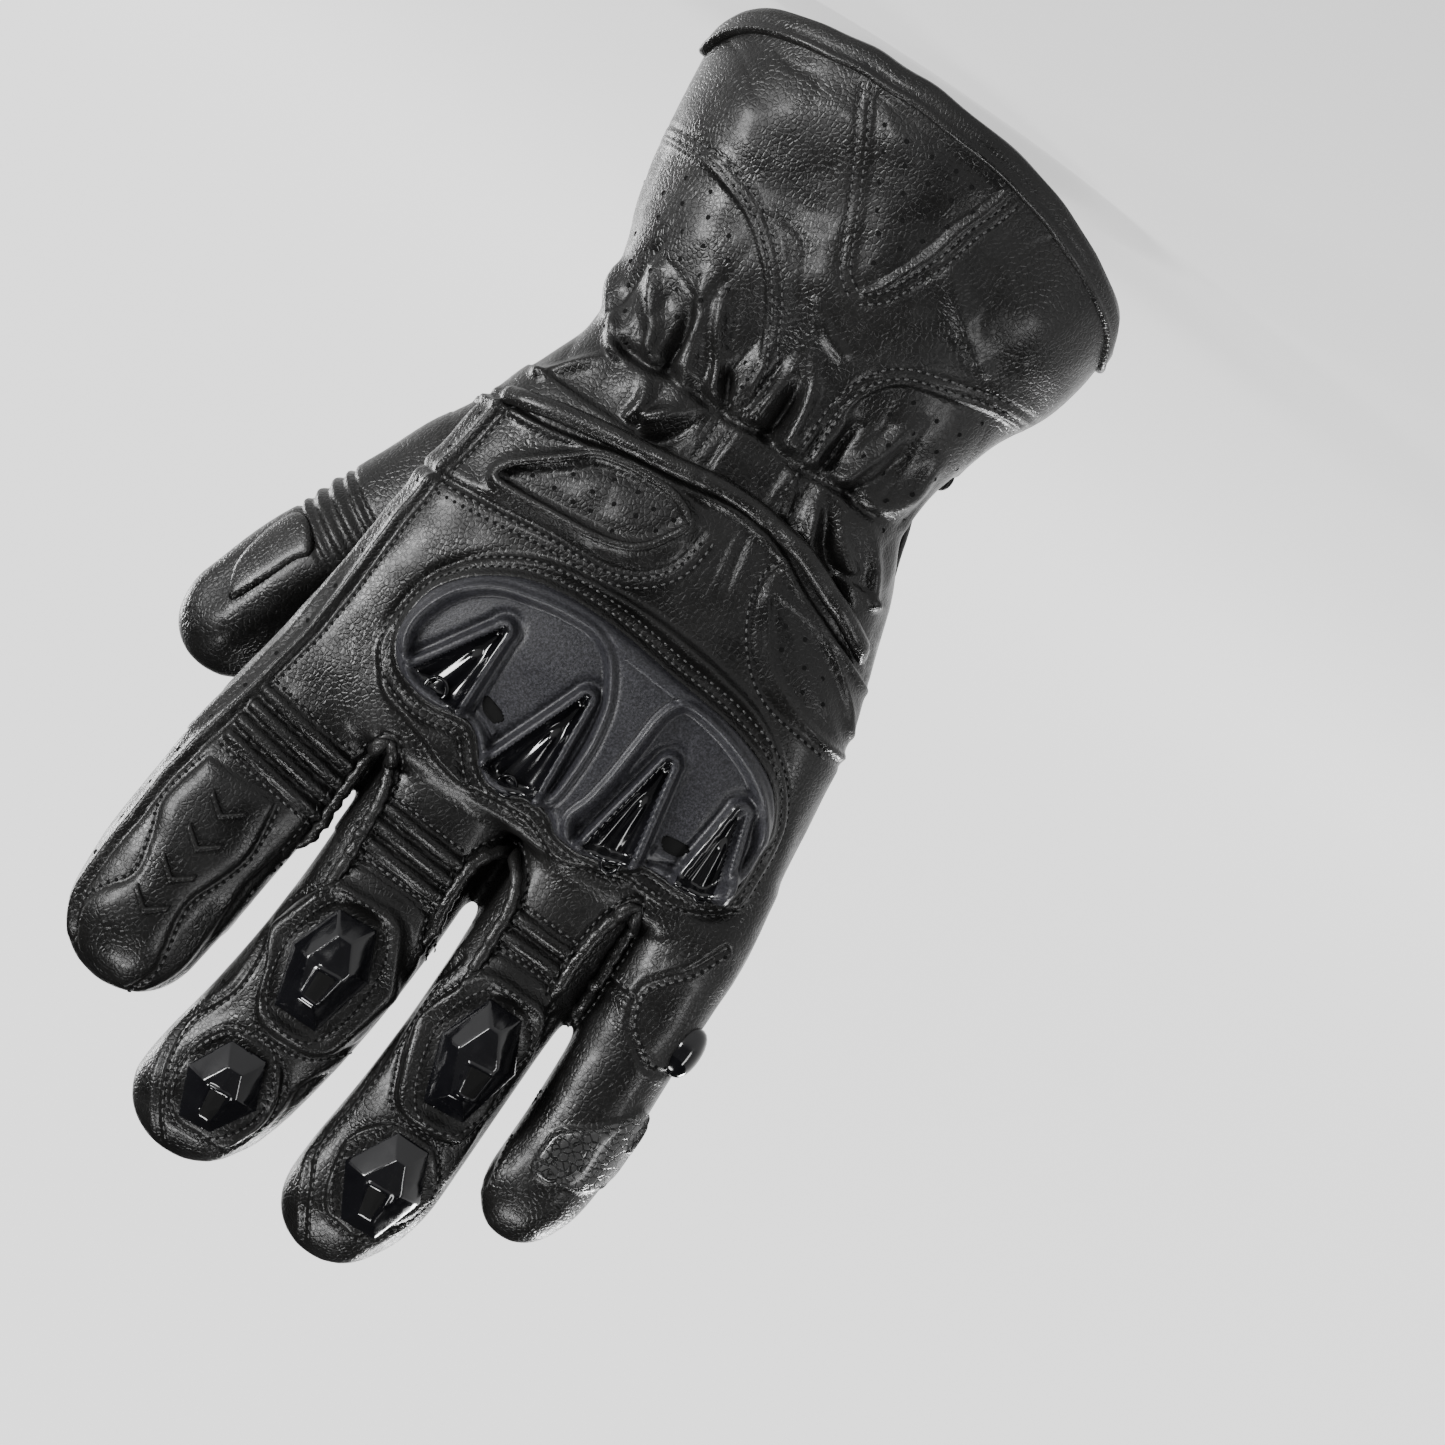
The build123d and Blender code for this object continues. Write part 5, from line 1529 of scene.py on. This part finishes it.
pebble_step = 0.45
grip = plate("palm_grip_pebbled", PALM, GRIP, grip_height, -0.5, pebble_step, True, RUBBER)
centre = np.array([f.center for f in grip.data.polygons]) / MM
grip_owner = owners(centre)
grip_arrays = np.array([v.co for v in grip.data.vertices]) / MM
compact = [np.ptp(grip_arrays[list(f.vertices)], axis=0).max() < 3.5
           and grip_arrays[f.vertices[0], 1] < THUMB_FRONT
           for f in grip.data.polygons]  # leaves out what the thumb's outline would drag along
for owner in ("hand", "index", "middle", "ring"):
    picked = [tuple(f.vertices) for f, who, short in zip(grip.data.polygons, grip_owner, compact)
              if short and (who == owner or (owner == "hand" and who not in FINGERS))]
    if not picked:
        continue
    used = sorted({i for f in picked for i in f})
    index = {v: k for k, v in enumerate(used)}
    faces = [tuple(index[i] for i in f) for f in picked]
    piece = solid(f"grip_{owner}", grip_arrays[used], faces, RUBBER)
    place(piece, owner, "grip_rubber", *(["palm_grip_patch"] if owner == "hand" else []))
bpy.data.objects.remove(grip)
stitch(PALM, GRIP, 1.0, True, 2.6, 1.8, 0.5)

crackle = plate("little_cracked_patch", BACK, CRACKED, 0.4, -0.6, FINE, True, CRACKED_LEATHER, 0.8)
place(crackle, "little", "cracked_leather", "little_patch")


def blob(name, centre, size, material):
    """A rounded lump with a flattened top."""
    rings = []
    for t in np.linspace(-0.5 * math.pi, 0.5 * math.pi, 15)[1:-1]:
        a = np.arange(28) * 2 * math.pi / 28
        r = abs(math.cos(t)) ** 0.6
        ring = np.stack([np.cos(a) * r, np.sin(a) * r, np.full(28, math.sin(t))], 1) * size
        rings.append(ring + centre)
    return solid(name, *ring_mesh(rings), material)


knob = blob("little_knob", (-61.6, -3.6, 187.0), (4.1, 4.4, 5.8), GLOSS)
place(knob, "little", "gloss_guard", "little_side_knob")

thumb_patch = plate("thumb_raised_patch", BACK, THUMB_PATCH, 1.3, -0.6, 0.6, False, SMOOTH_LEATHER, 1.4)
place(thumb_patch, "thumb", "leather", "thumb_patch")

tab_low, tab_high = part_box("pull_tab")
tab_mid = np.array((tab_low + tab_high) / 2) / MM
tab = blob("pull_tab_loop", tab_mid + [4.5, 0, 0], (4.0, 1.2, 3.0), LOOP)
place(tab, "hand", "webbing", "pull_tab")

for who, pieces in stitches.items():
    place(solid(f"stitching_{who}", *joined(pieces), THREAD), who, "leather")
# Each hole's dark dish is painted shade in place of the hole's depth.
for who, pieces in holes.items():
    place(solid(f"punched_holes_{who}", *joined(pieces), HOLE_SHADE), who, "perforated_leather")
LINING_START = 192.0  # the height where a finger's lining begins, clear of the bend
THUMB_ROOT_RINGS, TIP_RINGS_LEFT_OUT = 26, 8
for name in [*FINGERS, "thumb"]:
    if name == "thumb":
        rings = thumb_rings(-DIGIT_LINING_GAP)[THUMB_ROOT_RINGS:]
    else:
        rings = finger_rings(name, -DIGIT_LINING_GAP, LINING_START)
    verts, faces = ring_mesh(rings[:-TIP_RINGS_LEFT_OUT])
    faces = [f for f in faces if len(verts) - 2 not in f]
    sleeve = solid(f"{name}_lining_knit", verts, [f[::-1] for f in faces], LINING)
    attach(sleeve, BODY_OF[name])
    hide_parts(f"{name}_lining")

# --- Floor, light and camera --------------------------------------------------------------------


def studio():
    """A pale bowl: a flat floor that curves up into a wall all round. It glows as painted light, faintly
    at its front (-y) and strongly at its back (+y).
    """
    profile = [(0.001, 0), (0.4, 0), (1.2, 0), (1.8, 0.02), (2.2, 0.12), (2.5, 0.35), (2.62, 0.7),
               (2.65, 1.2)]
    fine = smoother(profile, step=0.08)
    t = np.arange(128) * 2 * math.pi / 128
    rings = [np.stack([r * np.cos(t), r * np.sin(t), np.full(128, h - 0.0012)], 1) / MM for r, h in fine]
    verts, faces = ring_mesh(rings)
    faces = [f for f in faces if len(verts) - 1 not in f]
    s = Shader("studio_glowing_white", Specular_IOR_Level=0.1, Emission_Color=(1, 1, 1, 1))
    # Painted light: the bowl's emission grows along y, so its back glows brighter than its front.
    place_split = s.node("ShaderNodeSeparateXYZ")
    s.tree.links.new(s.place, place_split.inputs["Vector"])
    glow = s.ramp(place_split.outputs["Y"], 0.1, 1.7, -2.0, 2.0)
    s.tree.links.new(glow, s.bsdf.inputs["Emission Strength"])
    s.colour(s.noise(900, 2), (0.22, 0.22, 0.22), (0.23, 0.23, 0.23))
    s.roughness(s.noise(900, 2), 0.85, 0.95)
    solid("studio_floor", verts, faces, s.material)


LIT_SPOT = Vector((0, 0, 0.13))
SOFTBOXES = [  # name, place, width and height, watts
    ("key", (1.15, -0.8, 0.30), (0.4, 0.4), 48),
    ("top", (-0.1, -0.5, 1.4), (0.6, 0.25), 24),
    ("low", (0.5, -1.1, 0.05), (0.2, 0.2), 8),
    ("fill", (-1.2, -0.8, 0.45), (0.2, 0.7), 12),
    ("behind_left", (-1.0, 1.1, 0.9), (0.4, 0.4), 34),
    ("behind_right", (1.1, 1.2, 0.4), (0.25, 0.6), 18),
]


def softbox(name, where, size, power):
    """A soft lamp that points at the glove."""
    light = bpy.data.lights.new(name, "AREA")
    light.shape = "RECTANGLE"
    light.size, light.size_y = size
    light.energy = power
    obj = bpy.data.objects.new(name, light)
    obj.location = where
    obj.rotation_euler = (LIT_SPOT - Vector(where)).to_track_quat("-Z", "Y").to_euler()
    bpy.context.scene.collection.objects.link(obj)


studio()
for name, where, size, power in SOFTBOXES:
    softbox(name, where, size, power)
world = bpy.data.worlds.new("studio_world")
world.use_nodes = True
world.node_tree.nodes["Background"].inputs["Color"].default_value = (1, 1, 1, 1)
world.node_tree.nodes["Background"].inputs["Strength"].default_value = 0.03
bpy.context.scene.world = world

CAMERA_TARGET = np.array([-30.9, -16.0, 127.8]) * MM
FRAME_WIDTH = 289 * MM
camera_data = bpy.data.cameras.new("camera")
camera_data.lens, camera_data.sensor_width = 135, 36
camera = bpy.data.objects.new("camera", camera_data)
reach = FRAME_WIDTH * camera_data.lens / camera_data.sensor_width
right, up = Vector((-0.825, 0, -0.565)).normalized(), Vector((0.565, 0, -0.825)).normalized()
turn = Matrix((right, up, right.cross(up))).transposed()
camera.matrix_world = Matrix.Translation(Vector(CAMERA_TARGET) - Vector((0, reach, 0))) @ turn.to_4x4()
bpy.context.scene.collection.objects.link(camera)
bpy.context.scene.camera = camera
